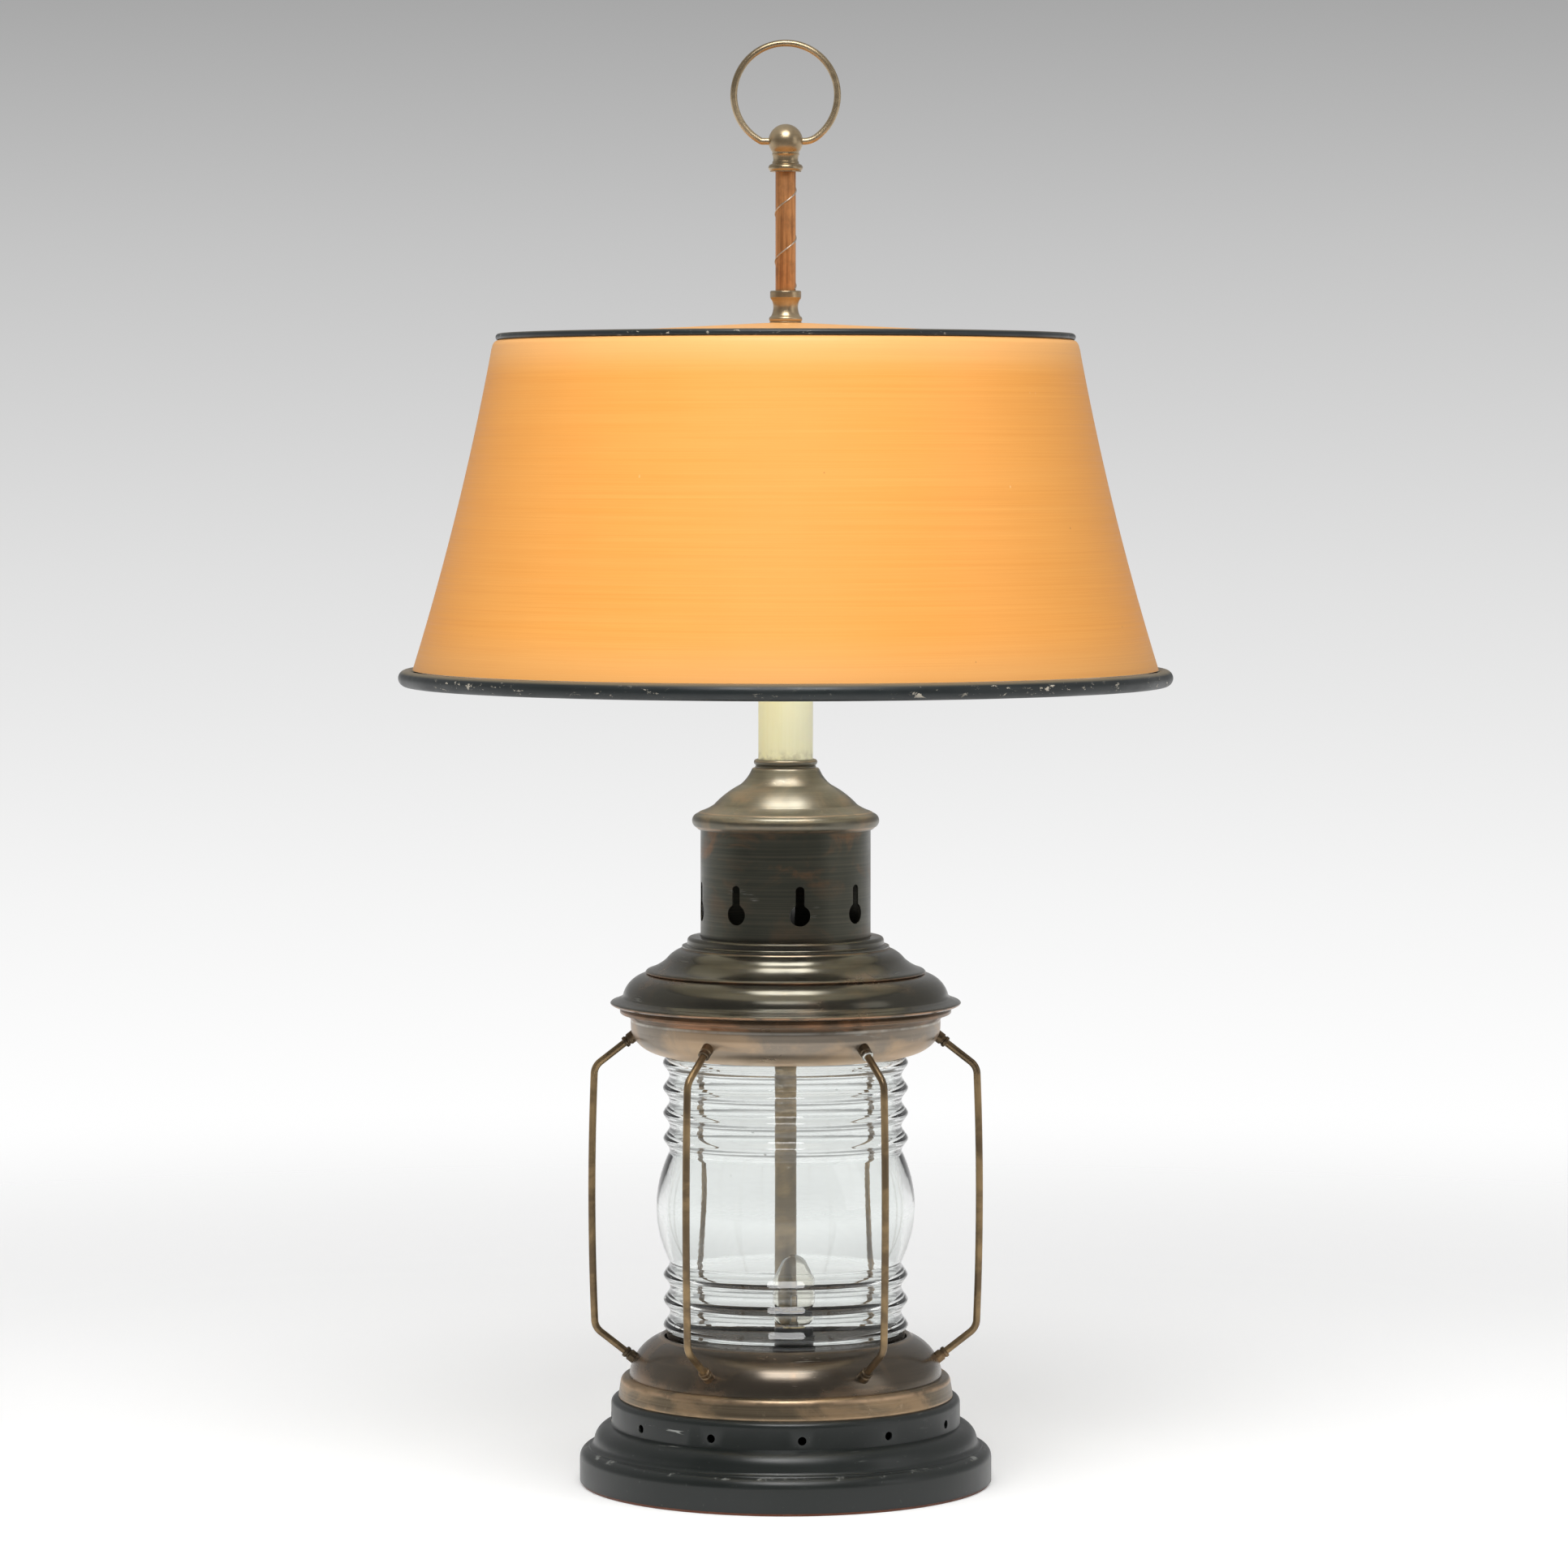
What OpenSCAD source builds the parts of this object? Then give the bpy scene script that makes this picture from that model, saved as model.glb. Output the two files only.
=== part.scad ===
// Electric table lamp made in the form of a ship's oil lantern.
// Millimetres, +Z up. The origin is the centre of the felt's underside and the front faces -Y.
// Every spun or turned piece is a profile in radius and height, turned about the stem.

/* [Foot] */
// Outer radius of the black foot
foot_r = 114.5; // [110:0.5:120]
// Radius of the plinth's upright band, above the foot's moulding
plinth_r = 97; // [95:0.5:99]
// Number of vent holes round the plinth
vent_count = 12; // [6:1:16]
// Diameter of a vent hole
vent_d = 4.7; // [3:0.1:6]
// Bore of the cord inlet in the back of the foot
cord_bore_d = 6.5; // [5:0.1:6.8]
// Radius of the cast-iron weight
weight_r = 72; // [50:1:85]

/* [Lantern] */
// Radius of the globe at the crests of its ribs
globe_crest_r = 68; // [66.5:0.1:68.5]
// Radius of the globe in the valleys between its ribs
globe_valley_r = 64.4; // [63.5:0.1:66]
// Radius of the globe's belly
globe_belly_r = 71.9; // [70:0.1:74]
// Inner radius of the globe
globe_bore_r = 60.5; // [56:0.1:61]
// Height of one rib
rib_pitch = 14; // [13:0.1:14.2]
// Radius to the middle of the guard wires at mid height
guard_r = 107.6; // [104:0.2:112]
// Diameter of a guard wire
guard_wire_d = 4; // [3:0.1:4.4]
// Length of the upright part of a guard wire
guard_upright = 137.4; // [130:0.1:139]
// How far the upright bows outwards
guard_bow = 1.4; // [0.5:0.1:3]

/* [Hood and chimney] */
// Radius of the hood's flared brim
brim_r = 97.2; // [95:0.2:102]
// Outer radius of the chimney
chimney_r = 47.1; // [46:0.1:47.4]
// Number of keyhole vents round the chimney
keyhole_count = 8; // [4:1:10]
// Radius of a keyhole's round end
keyhole_r = 5.75; // [4:0.05:6.5]
// Width of a keyhole's slot
keyhole_slot = 5; // [3:0.1:6]

/* [Candle sleeve] */
// Outer diameter of the candle sleeve
sleeve_d = 30.2; // [28:0.1:30.4]

/* [Shade] */
// Outer radius of the shade at its rounded shoulder
shade_top_r = 162; // [158:0.5:168]
// Outer radius of the shade just above its bottom bead
shade_bottom_r = 205.8; // [200:0.5:215]
// How much of the flare comes late, 0 for a straight cone
shade_late_flare = 0.25; // [0:0.01:0.4]
// Thickness of the shade's sheet metal
shade_wall = 0.8; // [0.6:0.1:1.4]
// Radius of the rolled bottom bead
shade_bead_r = 4.5; // [3.5:0.1:5.5]

/* [Main lamps] */
// Tilt of the two lampholders from upright
lamp_tilt = 55; // [50:1:60]
// Radius of a main bulb
bulb_r = 30; // [24:0.5:30]

/* [Finial] */
// Diameter of the copper spiral tube
spiral_tube_d = 11.2; // [10.6:0.1:11.4]
// Height that the inlay climbs in one turn
spiral_pitch = 26.2; // [20:0.1:36]
// Radius of the ball
ball_r = 9.5; // [9:0.1:11]
// Radius to the middle of the ring's wire
ring_r = 28.5; // [27:0.1:34]
// Diameter of the ring's wire
ring_wire_d = 3.8; // [3:0.1:4]

/* [Hidden] */

$fn = 96;

// Gap between pieces of one body that fit over each other
fit = 0.15;
// Gap between a turning piece and its bearing, on the radius
running_gap = 0.05;
// Gap above and below the shade's lid, which turns between its seat and the finial
thrust_gap = 0.2;

// Heights of the stack, from the table up
felt_t = 1.5;
board_t = 3;
weight_h = 15;
plinth_wall = 1.2;
z_plinth = 48;
z_band = 59.8;
z_globe_seat = 74.8;
gasket_t = 1.2;
z_globe = z_globe_seat + gasket_t;
z_globe_top = 245.8;
z_upper_seat = z_globe_top + gasket_t;
z_bowl_top = 258.9;
z_brim_ring = 265;
z_hood_dome = 283.8;
z_cowl = 298;
z_chimney_top = 372;
z_cap = 397.4;
z_sleeve = 399;
z_sleeve_top = 484;
z_cluster = 482;
z_cluster_rim = 506;
z_shade_bottom = 452;
z_shade_shoulder = 628;
z_lid_rim = 634;
z_lid_top = 642.6;
z_spool = z_lid_top + thrust_gap;
z_spool_top = 660.4;
z_neck = 725.6;
z_ball = 742.4;

// Stem: a threaded lamp pipe in a sheath tube
pipe_r = 5.05;
pipe_bore_r = 3.5;
pipe_hole_r = pipe_r + fit;
sheath_r = 6;
nut_flats = 14.3;
nut_t = 4;
sheet = 1.2;

// Globe, rib by rib from its belly
globe_mid_z = 153.9;
belly_half = 31;
ribs_below = 3;
ribs_above = 4;
globe_neck_r = 66.4;

// Guards
arm_angle = 38;
guard_bend_r = 9;
guard_mid_z = 158.7;
guard_count = 6;
guard_turn = 360 / guard_count;
guard_first = 0;
guard_start_r = 86.2;
ferrule_r = 3.3;
ferrule_l = 7;

// Keyhole vents and vent holes start a little off the front, as the lamp was assembled
keyhole_first = 9.7;
keyhole_z = 318.7;
keyhole_top_z = 334.7;
vent_first = 5.3;
vent_z = 38;
cord_z = 9.7;

// Night light, in front of the stem
night_x = 4.5;
night_y = -18;
night_socket_r = 10.7;
night_bulb_r = 11.5;

// Distances along a lampholder's axis
lamp_x = 10;
lamp_z = 500;
holder_r = 16.5;
holder_start = 20;
holder_end = 66;
bulb_foot = 64;
bulb_centre = 116;

switch_z = 496;
shaft_r = 1.6;
knob_r = 6.5;

// Outline helpers. All give lists of [radius, height] points.

// Elliptic arc about [cr, cz] from angle a to angle b
function arc(cr, cz, rr, rz, a, b, n) =
    [for (i = [0 : n]) let (t = a + (b - a) * i / n) [cr + rr * cos(t), cz + rz * sin(t)]];

// Left-hand unit normal of the line from a to b
function left_of(a, b) = let (d = (b - a) / norm(b - a)) [-d[1], d[0]];

// Curve from a to b that bows to the left by s at its middle, or to the right if s is negative
function bow(a, b, s, n) =
    [for (i = [0 : n]) let (t = i / n) a + (b - a) * t + 4 * s * t * (1 - t) * left_of(a, b)];

// The same outline moved to its left by t, point by point, and never past the stem's axis
function inset(p, t) =
    [for (i = [0 : len(p) - 1])
        let (q = p[i] + t * left_of(p[max(i - 1, 0)], p[min(i + 1, len(p) - 1)]))
            [max(q[0], 0), q[1]]];

function reversed(p) = [for (i = [len(p) - 1 : -1 : 0]) p[i]];

// An open outline given a wall on its left
function walled(p, t) = concat(p, reversed(inset(p, t)));

module turned(outline) {
    rotate_extrude() polygon(outline);
}

// Flat ring or washer
module ring_plate(outer_r, inner_r, z, h) {
    translate([0, 0, z]) difference() {
        cylinder(r = outer_r, h = h);
        translate([0, 0, -1]) cylinder(r = inner_r, h = h + 2);
    }
}

// Round wire in the XZ plane that starts along +X and turns towards +Z. The steps are by turns
// a run and a bend: [length, 0] or [radius, angle]. A run may itself be a wide arc. Bends are
// drawn a hundredth thicker, and each run laps a little way into them, so that they join as one.
wire_lap = 0.1;
wire_swell = 0.02;

module bent_wire(d, steps, i = 0) {
    if (i < len(steps)) {
        size = steps[i][0];
        turn = steps[i][1];
        lap_in = i % 2 == 0 && i > 0 ? wire_lap : 0;
        lap_out = i % 2 == 0 && i < len(steps) - 1 ? wire_lap : 0;
        if (turn == 0) {
            translate([-lap_in, 0, 0]) rotate([0, 90, 0])
                cylinder(d = d, h = lap_in + size + lap_out, $fn = 48);
            translate([size, 0, 0]) bent_wire(d, steps, i + 1);
        } else {
            lap_turn = (lap_in + lap_out) / size * 180 / PI;
            translate([0, 0, size]) rotate([90, 0, 0]) rotate([0, 0, -90 - lap_turn / 2])
                rotate_extrude(angle = turn + lap_turn) translate([size, 0])
                    circle(d = d + (i % 2) * wire_swell, $fn = 48);
            translate([0, 0, size]) rotate([0, -turn, 0]) translate([0, 0, -size])
                bent_wire(d, steps, i + 1);
        }
    }
}

// Foot and base

// Outside of the plinth: foot, cove, quarter-round moulding, upright band, rounded top edge
function plinth_outline() = concat(
    [[foot_r, felt_t]],
    arc(foot_r - 6, 14.2, 6, 6, 0, 80, 8),
    arc(foot_r - 4.9, 23.6, 3, 3, 262, 186, 5),
    arc(plinth_r - 0.6, 22.6, foot_r - plinth_r - 7.3, 10.4, 6, 86, 8),
    [[plinth_r, 33.2]],
    arc(plinth_r - 3.4, z_plinth - 3.4, 3.4, 3.4, 0, 90, 6)
);

module foot_felt() {
    color("saddlebrown") cylinder(r = foot_r - 1, h = felt_t);
}

module bottom_board() {
    color("burlywood") ring_plate(foot_r - plinth_wall - 0.4, 16, felt_t, board_t);
}

// A disc with a boss that presses on the underside of the plinth's top
module base_weight() {
    z0 = felt_t + board_t;
    color("dimgray") difference() {
        union() {
            translate([0, 0, z0]) cylinder(r = weight_r, h = weight_h);
            translate([0, 0, z0]) cylinder(r = 14, h = z_plinth - plinth_wall - z0);
        }
        translate([0, 0, -1]) cylinder(r = pipe_hole_r, h = z_plinth + 2);
        translate([0, 0, -1]) cylinder(r = 13, h = z0 + 6 + 1);
    }
}

module foot_plinth() {
    outside = plinth_outline();
    top = z_plinth - plinth_wall;
    color([0.13, 0.15, 0.14]) difference() {
        turned(concat(outside, [
            [pipe_hole_r, z_plinth], [pipe_hole_r, top], [plinth_r - plinth_wall, top],
            [plinth_r - plinth_wall, 31.5], [foot_r - 10, 21.5], [foot_r - 7.5, 18.8],
            [foot_r - 3, 17], [foot_r - plinth_wall, 14], [foot_r - plinth_wall, felt_t]
        ]));
        for (i = [0 : vent_count - 1])
            rotate([0, 0, vent_first - 90 + i * 360 / vent_count])
                translate([plinth_r - 10, 0, vent_z]) rotate([0, 90, 0])
                    cylinder(d = vent_d, h = 20, $fn = 32);
        translate([0, foot_r - 10, cord_z]) rotate([-90, 0, 0])
            cylinder(r = cord_bore_d / 2 + 0.75, h = 20, $fn = 32);
    }
}

// Plain bushing through the back of the foot, where the cord goes in
module cord_bushing() {
    neck_r = cord_bore_d / 2 + 0.75;
    color("black") translate([0, foot_r - plinth_wall, cord_z]) rotate([-90, 0, 0]) difference() {
        union() {
            translate([0, 0, -5]) cylinder(r = neck_r, h = 5 + plinth_wall + 0.1, $fn = 32);
            translate([0, 0, plinth_wall]) cylinder(r = 4.8, h = 1.6, $fn = 32);
            translate([0, 0, -2.5]) cylinder(r = 4.2, h = 2.3, $fn = 32);
        }
        translate([0, 0, -6]) cylinder(d = cord_bore_d, h = 12, $fn = 32);
    }
}

// Stepped brass ring, a C in section with its flanges inwards
module base_band() {
    outside = concat(
        [[92.9, z_plinth], [92.7, 50.2], [91.9, 55.6]],
        arc(88.4, 55.9, 3.4, 3.9, 8, 90, 6),
        [[86.9, z_band]]
    );
    color([0.45, 0.36, 0.24]) turned(concat(outside, [
        [80, z_band], [80, z_band - sheet], [88, z_band - sheet], [90.4, 55.8], [91.4, 50.2],
        [91.5, z_plinth + sheet], [80, z_plinth + sheet], [80, z_plinth]
    ]));
}

// Lower gallery: a dome with a turned-in lip and a flat seat for the globe
module lower_gallery() {
    dome = arc(62, 58, 25, 24.5, 4.2, 72, 14);
    inner_dome = arc(62, 58, 23.7, 23.2, 72, 4.5, 10);
    color([0.24, 0.2, 0.15]) turned(concat(
        dome,
        [[68.6, 81.9], [67.5, 81.5], [67.2, 80.6], [67.2, z_globe_seat],
         [pipe_hole_r, z_globe_seat], [pipe_hole_r, z_globe_seat - sheet],
         [68.4, z_globe_seat - sheet], [68.4, 79.9]],
        inner_dome
    ));
}

module lower_gasket() {
    color("dimgray") ring_plate(66.8, 60, z_globe_seat, gasket_t);
}

// Radius of the ribbed stretch at a distance d from the nearest crest
function rib_r(d) =
    globe_crest_r - (globe_crest_r - globe_valley_r) * pow(abs(sin(180 * d / rib_pitch)), 1.5);

// Outside of the globe from its foot to its top
function globe_outline() =
    let (
        belly_low = globe_mid_z - belly_half,
        belly_high = globe_mid_z + belly_half,
        first_crest = belly_low - (ribs_below - 0.5) * rib_pitch,
        last_crest = belly_high + (ribs_above - 0.5) * rib_pitch,
        steps = 8
    )
    concat(
        [[globe_neck_r, z_globe], [globe_neck_r, 81.6]],
        [for (i = [-2 : ribs_below * steps - steps / 2 - 1])
            let (d = i * rib_pitch / steps) [rib_r(d), first_crest + d]],
        bow([globe_valley_r, belly_low], [globe_valley_r, belly_high],
            globe_valley_r - globe_belly_r, 16),
        [for (i = [steps / 2 + 1 : ribs_above * steps + 2])
            let (d = i * rib_pitch / steps) [rib_r(d), belly_high + d - rib_pitch / 2]],
        [[globe_neck_r - 1, last_crest + 6], [globe_neck_r - 1, z_globe_top]]
    );

module globe_glass() {
    color([0.85, 0.9, 0.88, 0.35]) turned(concat(globe_outline(), [
        [globe_bore_r, z_globe_top], [globe_bore_r, z_globe]
    ]));
}

module upper_gasket() {
    color("dimgray") ring_plate(66.8, 60, z_globe_top, gasket_t);
}

// Guards

bow_half = guard_upright / 2;
bow_angle = 2 * atan(guard_bow / bow_half);
bow_r = bow_half / sin(bow_angle);
bend_angle = 90 - arm_angle - bow_angle;
bend_out = guard_bend_r * (cos(bow_angle) - sin(arm_angle));
bend_up = guard_bend_r * (cos(arm_angle) - sin(bow_angle));
arm_l = (guard_r - guard_start_r - bend_out - guard_bow) / cos(arm_angle);
guard_start_z = guard_mid_z - bow_half - bend_up - arm_l * sin(arm_angle);

// One wire: arm, bend, bowed upright, bend, arm
module guard_wire(i) {
    color([0.5, 0.42, 0.28]) rotate([0, 0, guard_first + (i - 1) * guard_turn])
        translate([guard_start_r, 0, guard_start_z]) rotate([0, -arm_angle, 0])
            bent_wire(guard_wire_d, [[arm_l, 0], [guard_bend_r, bend_angle],
                [bow_r, 2 * bow_angle], [guard_bend_r, bend_angle], [arm_l, 0]]);
}

module guard_wire_1() guard_wire(1);
module guard_wire_2() guard_wire(2);
module guard_wire_3() guard_wire(3);
module guard_wire_4() guard_wire(4);
module guard_wire_5() guard_wire(5);
module guard_wire_6() guard_wire(6);

// A small turned nut on the arm's axis, which is +X here, with the wire's end in its bore
module ferrule() {
    bore_r = guard_wire_d / 2 + 0.02;
    rotate([0, 90, 0]) rotate_extrude($fn = 48) polygon([
        [0, -6], [ferrule_r, -6], [ferrule_r, 0.6], [ferrule_r - 0.6, 1.2], [ferrule_r - 0.6, 1.8],
        [ferrule_r - 0.1, 2.2], [ferrule_r - 0.1, 3.6], [ferrule_r - 0.7, ferrule_l - 3],
        [bore_r, ferrule_l - 3], [bore_r, 0], [0, 0]
    ]);
}

// The lower ferrules stand on the dome, so they are cut back to its outside
module guard_ferrules_lower() {
    color([0.42, 0.33, 0.2]) difference() {
        for (i = [0 : guard_count - 1])
            rotate([0, 0, guard_first + i * guard_turn])
                translate([guard_start_r, 0, guard_start_z]) rotate([0, -arm_angle, 0]) ferrule();
        turned(concat([[0, 58]], arc(62, 58, 25, 24.5, 0, 72, 15), [[0, 81.3]]));
    }
}

// The upper ferrules are the lower ones mirrored, cut back to the bowl
module guard_ferrules_upper() {
    z_top = 2 * guard_mid_z - guard_start_z;
    color([0.42, 0.33, 0.2]) difference() {
        for (i = [0 : guard_count - 1])
            rotate([0, 0, guard_first + i * guard_turn])
                translate([guard_start_r, 0, z_top]) rotate([0, arm_angle, 0]) ferrule();
        turned(concat([[0, 239]], arc(65, 254, 20.8, 15.4, -77, 0, 14), [[85.8, 259], [0, 259]]));
    }
}

// Upper gallery: a bowl over the globe, with a seat plate inside
module upper_gallery() {
    bowl = arc(65, 254, 20.8, 15.4, -77, 0, 14);
    inner_bowl = arc(65, 254, 19.6, 14.2, 0, -76, 10);
    color([0.42, 0.33, 0.26]) turned(concat(
        bowl,
        [[85.8, z_bowl_top], [80, z_bowl_top], [80, z_bowl_top - sheet],
         [84.6, z_bowl_top - sheet]],
        inner_bowl,
        [[68.4, 240.4], [68.4, z_upper_seat + sheet], [pipe_hole_r, z_upper_seat + sheet],
         [pipe_hole_r, z_upper_seat], [67.2, z_upper_seat], [67.2, 240], [67.7, 239],
         [68.6, 238.6]]
    ));
}

// Hood

module brim_ring() {
    color([0.48, 0.35, 0.26]) turned(concat(
        bow([86.2, z_bowl_top], [91.3, 261.6], 0.5, 5),
        [[91.7, 262.2], [91.7, 263.4], [91, z_brim_ring], [82, z_brim_ring],
         [82, z_bowl_top]]
    ));
}

// Dome with its flared brim, whose edge is turned under
module hood_dome() {
    dome = arc(74, 268, 16.6, z_hood_dome - 268, 12, 90, 12);
    color([0.17, 0.17, 0.15]) turned(concat(
        [[82, z_brim_ring], [92.6, z_brim_ring], [brim_r - 1.6, 265.9], [brim_r - 0.2, 266.7],
         [brim_r, 267.4], [brim_r - 0.7, 268.1], [93.4, 269.2], [91.4, 270.1]],
        dome,
        [[66, z_hood_dome], [66, z_hood_dome - sheet]],
        arc(74, 268, 15.4, z_hood_dome - sheet - 268, 90, 4, 10),
        [[89.4, z_brim_ring + sheet], [82, z_brim_ring + sheet]]
    ));
}

// Ogee cowl on the dome, with a lip at its foot
module hood_cowl() {
    outside = concat(
        [[77.4, z_hood_dome], [77.6, z_hood_dome + 0.8], [76.7, 285.6]],
        bow([76.2, 285.8], [66, 291.6], 0.7, 5),
        bow([66, 291.6], [58.2, 297.2], -0.7, 5),
        [[57.6, z_cowl]]
    );
    color([0.2, 0.19, 0.16]) turned(concat(outside, [
        [41, z_cowl], [41, z_cowl - sheet], [57, z_cowl - sheet], [64.6, 290.8], [74.4, 285],
        [66, 285], [66, z_hood_dome]
    ]));
}

module chimney_foot_ring() {
    inner = chimney_r + fit;
    color([0.22, 0.2, 0.16]) turned(concat(
        [[inner, z_cowl], [57.4, z_cowl], [57.4, 299.1], [55.2, 299.6], [54.6, 300.1],
         [54.5, 301.6]],
        arc(52.3, 301.7, 2.2, 2.4, 0, 90, 5),
        [[inner, 304.6]]
    ));
}

// A round hole under an upright slot
module keyhole_cutter() {
    rotate([0, 90, 0]) cylinder(r = keyhole_r, h = 30, $fn = 48);
    slot_l = keyhole_top_z - keyhole_z - keyhole_slot / 2;
    translate([0, -keyhole_slot / 2, 0]) cube([30, keyhole_slot, slot_l]);
    translate([0, 0, slot_l]) rotate([0, 90, 0]) cylinder(d = keyhole_slot, h = 30, $fn = 48);
}

module chimney() {
    color([0.2, 0.2, 0.17]) difference() {
        ring_plate(chimney_r, chimney_r - 1, z_cowl, z_chimney_top - z_cowl);
        for (i = [0 : keyhole_count - 1])
            rotate([0, 0, keyhole_first - 90 + i * 360 / keyhole_count])
                translate([chimney_r - 12, 0, keyhole_z]) keyhole_cutter();
    }
}

// Outside of the cap: bead, groove, skirt, shoulder and neck
function cap_outline() = concat(
    [[48.2, 363.6], [49.4, 363.9]],
    arc(47.6, 368.3, 4.2, 4.2, -58, 76, 10),
    [[47.6, 373.1]],
    bow([46.9, 373.5], [39.4, 377.3], 0.35, 4),
    bow([39.2, 377.6], [25.6, 387.9], -0.7, 6),
    bow([25.2, 388.1], [18.8, 396.6], 0.7, 6),
    [[18, z_cap]]
);

// The cap sits over the chimney and rests on its rim
module chimney_cap() {
    inner = chimney_r + fit;
    color([0.23, 0.21, 0.17]) turned(concat(cap_outline(), [
        [pipe_hole_r, z_cap], [pipe_hole_r, z_cap - sheet], [17, z_cap - sheet], [23.6, 387],
        [38, 376], [44, z_chimney_top], [inner, z_chimney_top], [inner, 363.6]
    ]));
}

module cap_collar() {
    cup_r = sleeve_d / 2 + fit;
    color([0.33, 0.27, 0.18]) turned(concat(
        [[pipe_hole_r, z_cap], [16.9, z_cap], [16.9, 398.3], [16.4, 398.8]],
        arc(15.9, 400.6, 1.7, 1.7, -60, 90, 7),
        [[cup_r, 402.3], [cup_r, z_sleeve], [pipe_hole_r, z_sleeve]]
    ));
}

module candle_sleeve() {
    color("ivory") ring_plate(sleeve_d / 2, sleeve_d / 2 - 1.3, z_sleeve, z_sleeve_top - z_sleeve);
}

// Stem

// Threaded pipe from the nut under the weight to the cluster, drawn as its plain blank
module stem_pipe() {
    color("silver") ring_plate(pipe_r, pipe_bore_r, 6, 508 - 6);
}

// Plain tube that hides the pipe inside the globe
module stem_sheath() {
    color([0.6, 0.56, 0.5])
        ring_plate(sheath_r, pipe_hole_r, z_globe_seat + 1.6, z_upper_seat - z_globe_seat - 1.6);
}

module hex_nut(z) {
    translate([0, 0, z]) difference() {
        cylinder(d = nut_flats / cos(30), h = nut_t, $fn = 6);
        translate([0, 0, -1]) cylinder(r = pipe_hole_r, h = nut_t + 2);
    }
}

// Nuts under the weight, on the upper gallery's plate and under the cap
module stem_nuts() {
    color("gray") {
        hex_nut(felt_t + board_t + 6 - nut_t);
        hex_nut(z_upper_seat + sheet);
        hex_nut(z_cap - sheet - nut_t);
    }
}

// Night light

module night_light_bracket() {
    h = 1.6;
    color("gray") translate([0, 0, z_globe_seat]) difference() {
        union() {
            cylinder(r = 9, h = h);
            translate([night_x, night_y, 0]) cylinder(r = 11.5, h = h);
            rotate([0, 0, atan2(night_y, night_x)]) translate([0, -6, 0]) cube([19, 12, h]);
        }
        translate([0, 0, -1]) cylinder(r = pipe_hole_r, h = h + 2);
    }
}

// Everything below is turned about the night light's own axis
module at_night_light() {
    translate([night_x, night_y, 0]) children();
}

module night_light_socket() {
    z0 = z_globe_seat + 1.6;
    color([0.08, 0.08, 0.08]) at_night_light() turned([
        [0, z0], [12, z0], [12, z0 + 2.2], [night_socket_r, z0 + 3], [night_socket_r, 89.2],
        [night_socket_r - 0.8, 90], [7, 90], [7, z0 + 3], [0, z0 + 3]
    ]);
}

module night_light_cap() {
    z0 = z_globe_seat + 4.8;
    color("gold") at_night_light() turned([
        [0, z0], [3, z0], [6.2, z0 + 2.4], [6.2, 91.2], [5.2, 91.2], [5.2, z0 + 3.4], [0, z0 + 2]
    ]);
}

// Outside of the night light's bulb: neck, body, rounded tip
function night_bulb_outline() = concat(
    [[5.1, 88], [5.1, 91.6], [7.4, 92.4]],
    bow([8.4, 93.6], [night_bulb_r, 107], -0.9, 5),
    bow([night_bulb_r, 108], [7.2, 127], -1.6, 7),
    arc(0, 123.4, 8, 8.4, 30, 90, 6)
);

module night_light_bulb() {
    outside = night_bulb_outline();
    color([0.95, 0.93, 0.85, 0.5]) at_night_light()
        turned(concat(outside, [[0, 131]], reversed(inset(outside, 0.8))));
}

// Glass post and its filament loop
module night_light_filament() {
    color([0.8, 0.78, 0.7]) at_night_light() union() {
        translate([0, 0, 85]) cylinder(r = 2.4, h = 12, $fn = 32);
        for (side = [-1, 1])
            translate([side * 1.6, 0, 96]) cylinder(r = 0.35, h = 16, $fn = 16);
        translate([-1.95, 0, 112]) rotate([0, 90, 0]) cylinder(r = 0.5, h = 3.9, $fn = 16);
    }
}

// Main lamps under the shade

// Places a child that is turned about +Z on one lampholder's axis. side is -1 left, 1 right.
module at_lamp(side) {
    translate([side * lamp_x, 0, lamp_z]) rotate([0, side * lamp_tilt, 0]) children();
}

// Cup round the stem, with two stubs that carry the lampholders and a hole for the switch
module cluster_body() {
    cup = concat([[15.6, z_cluster]], bow([16.6, z_cluster], [26, 491], -1.2, 6),
        [[26, z_cluster_rim]]);
    color([0.55, 0.45, 0.28]) difference() {
        union() {
            turned(concat([[pipe_hole_r, z_cluster + 3.6], [14.6, z_cluster + 3.6],
                [15.6, z_cluster + 2]], cup, [[24.5, z_cluster_rim], [24.5, 491.6],
                [17, z_cluster + 5.2], [pipe_hole_r, z_cluster + 5.2]]));
            for (side = [-1, 1])
                at_lamp(side) difference() {
                    translate([0, 0, 11]) cylinder(r = 6, h = 15);
                    translate([0, 0, 5]) cylinder(r = 4, h = 30);
                }
        }
        translate([0, -15, switch_z]) rotate([90, 0, 0]) cylinder(r = 4.6, h = 20);
        turned([[0, z_cluster_rim - 14], [24.4, z_cluster_rim - 14], [24.4, z_cluster_rim + 0.02],
            [0, z_cluster_rim + 0.02]]);
    }
}

module cluster_cover() {
    color([0.55, 0.45, 0.28]) difference() {
        turned(concat([[pipe_hole_r, z_cluster_rim], [25.6, z_cluster_rim]],
            bow([25.6, z_cluster_rim + 1], [9, 511.6], -1.4, 6),
            [[pipe_hole_r, 511.8]]));
        for (side = [-1, 1])
            at_lamp(side) cylinder(r = 6 + fit, h = 40);
        translate([0, 0, z_cluster_rim - 1]) cylinder(r = 8.5, h = 4.6);
    }
}

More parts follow.
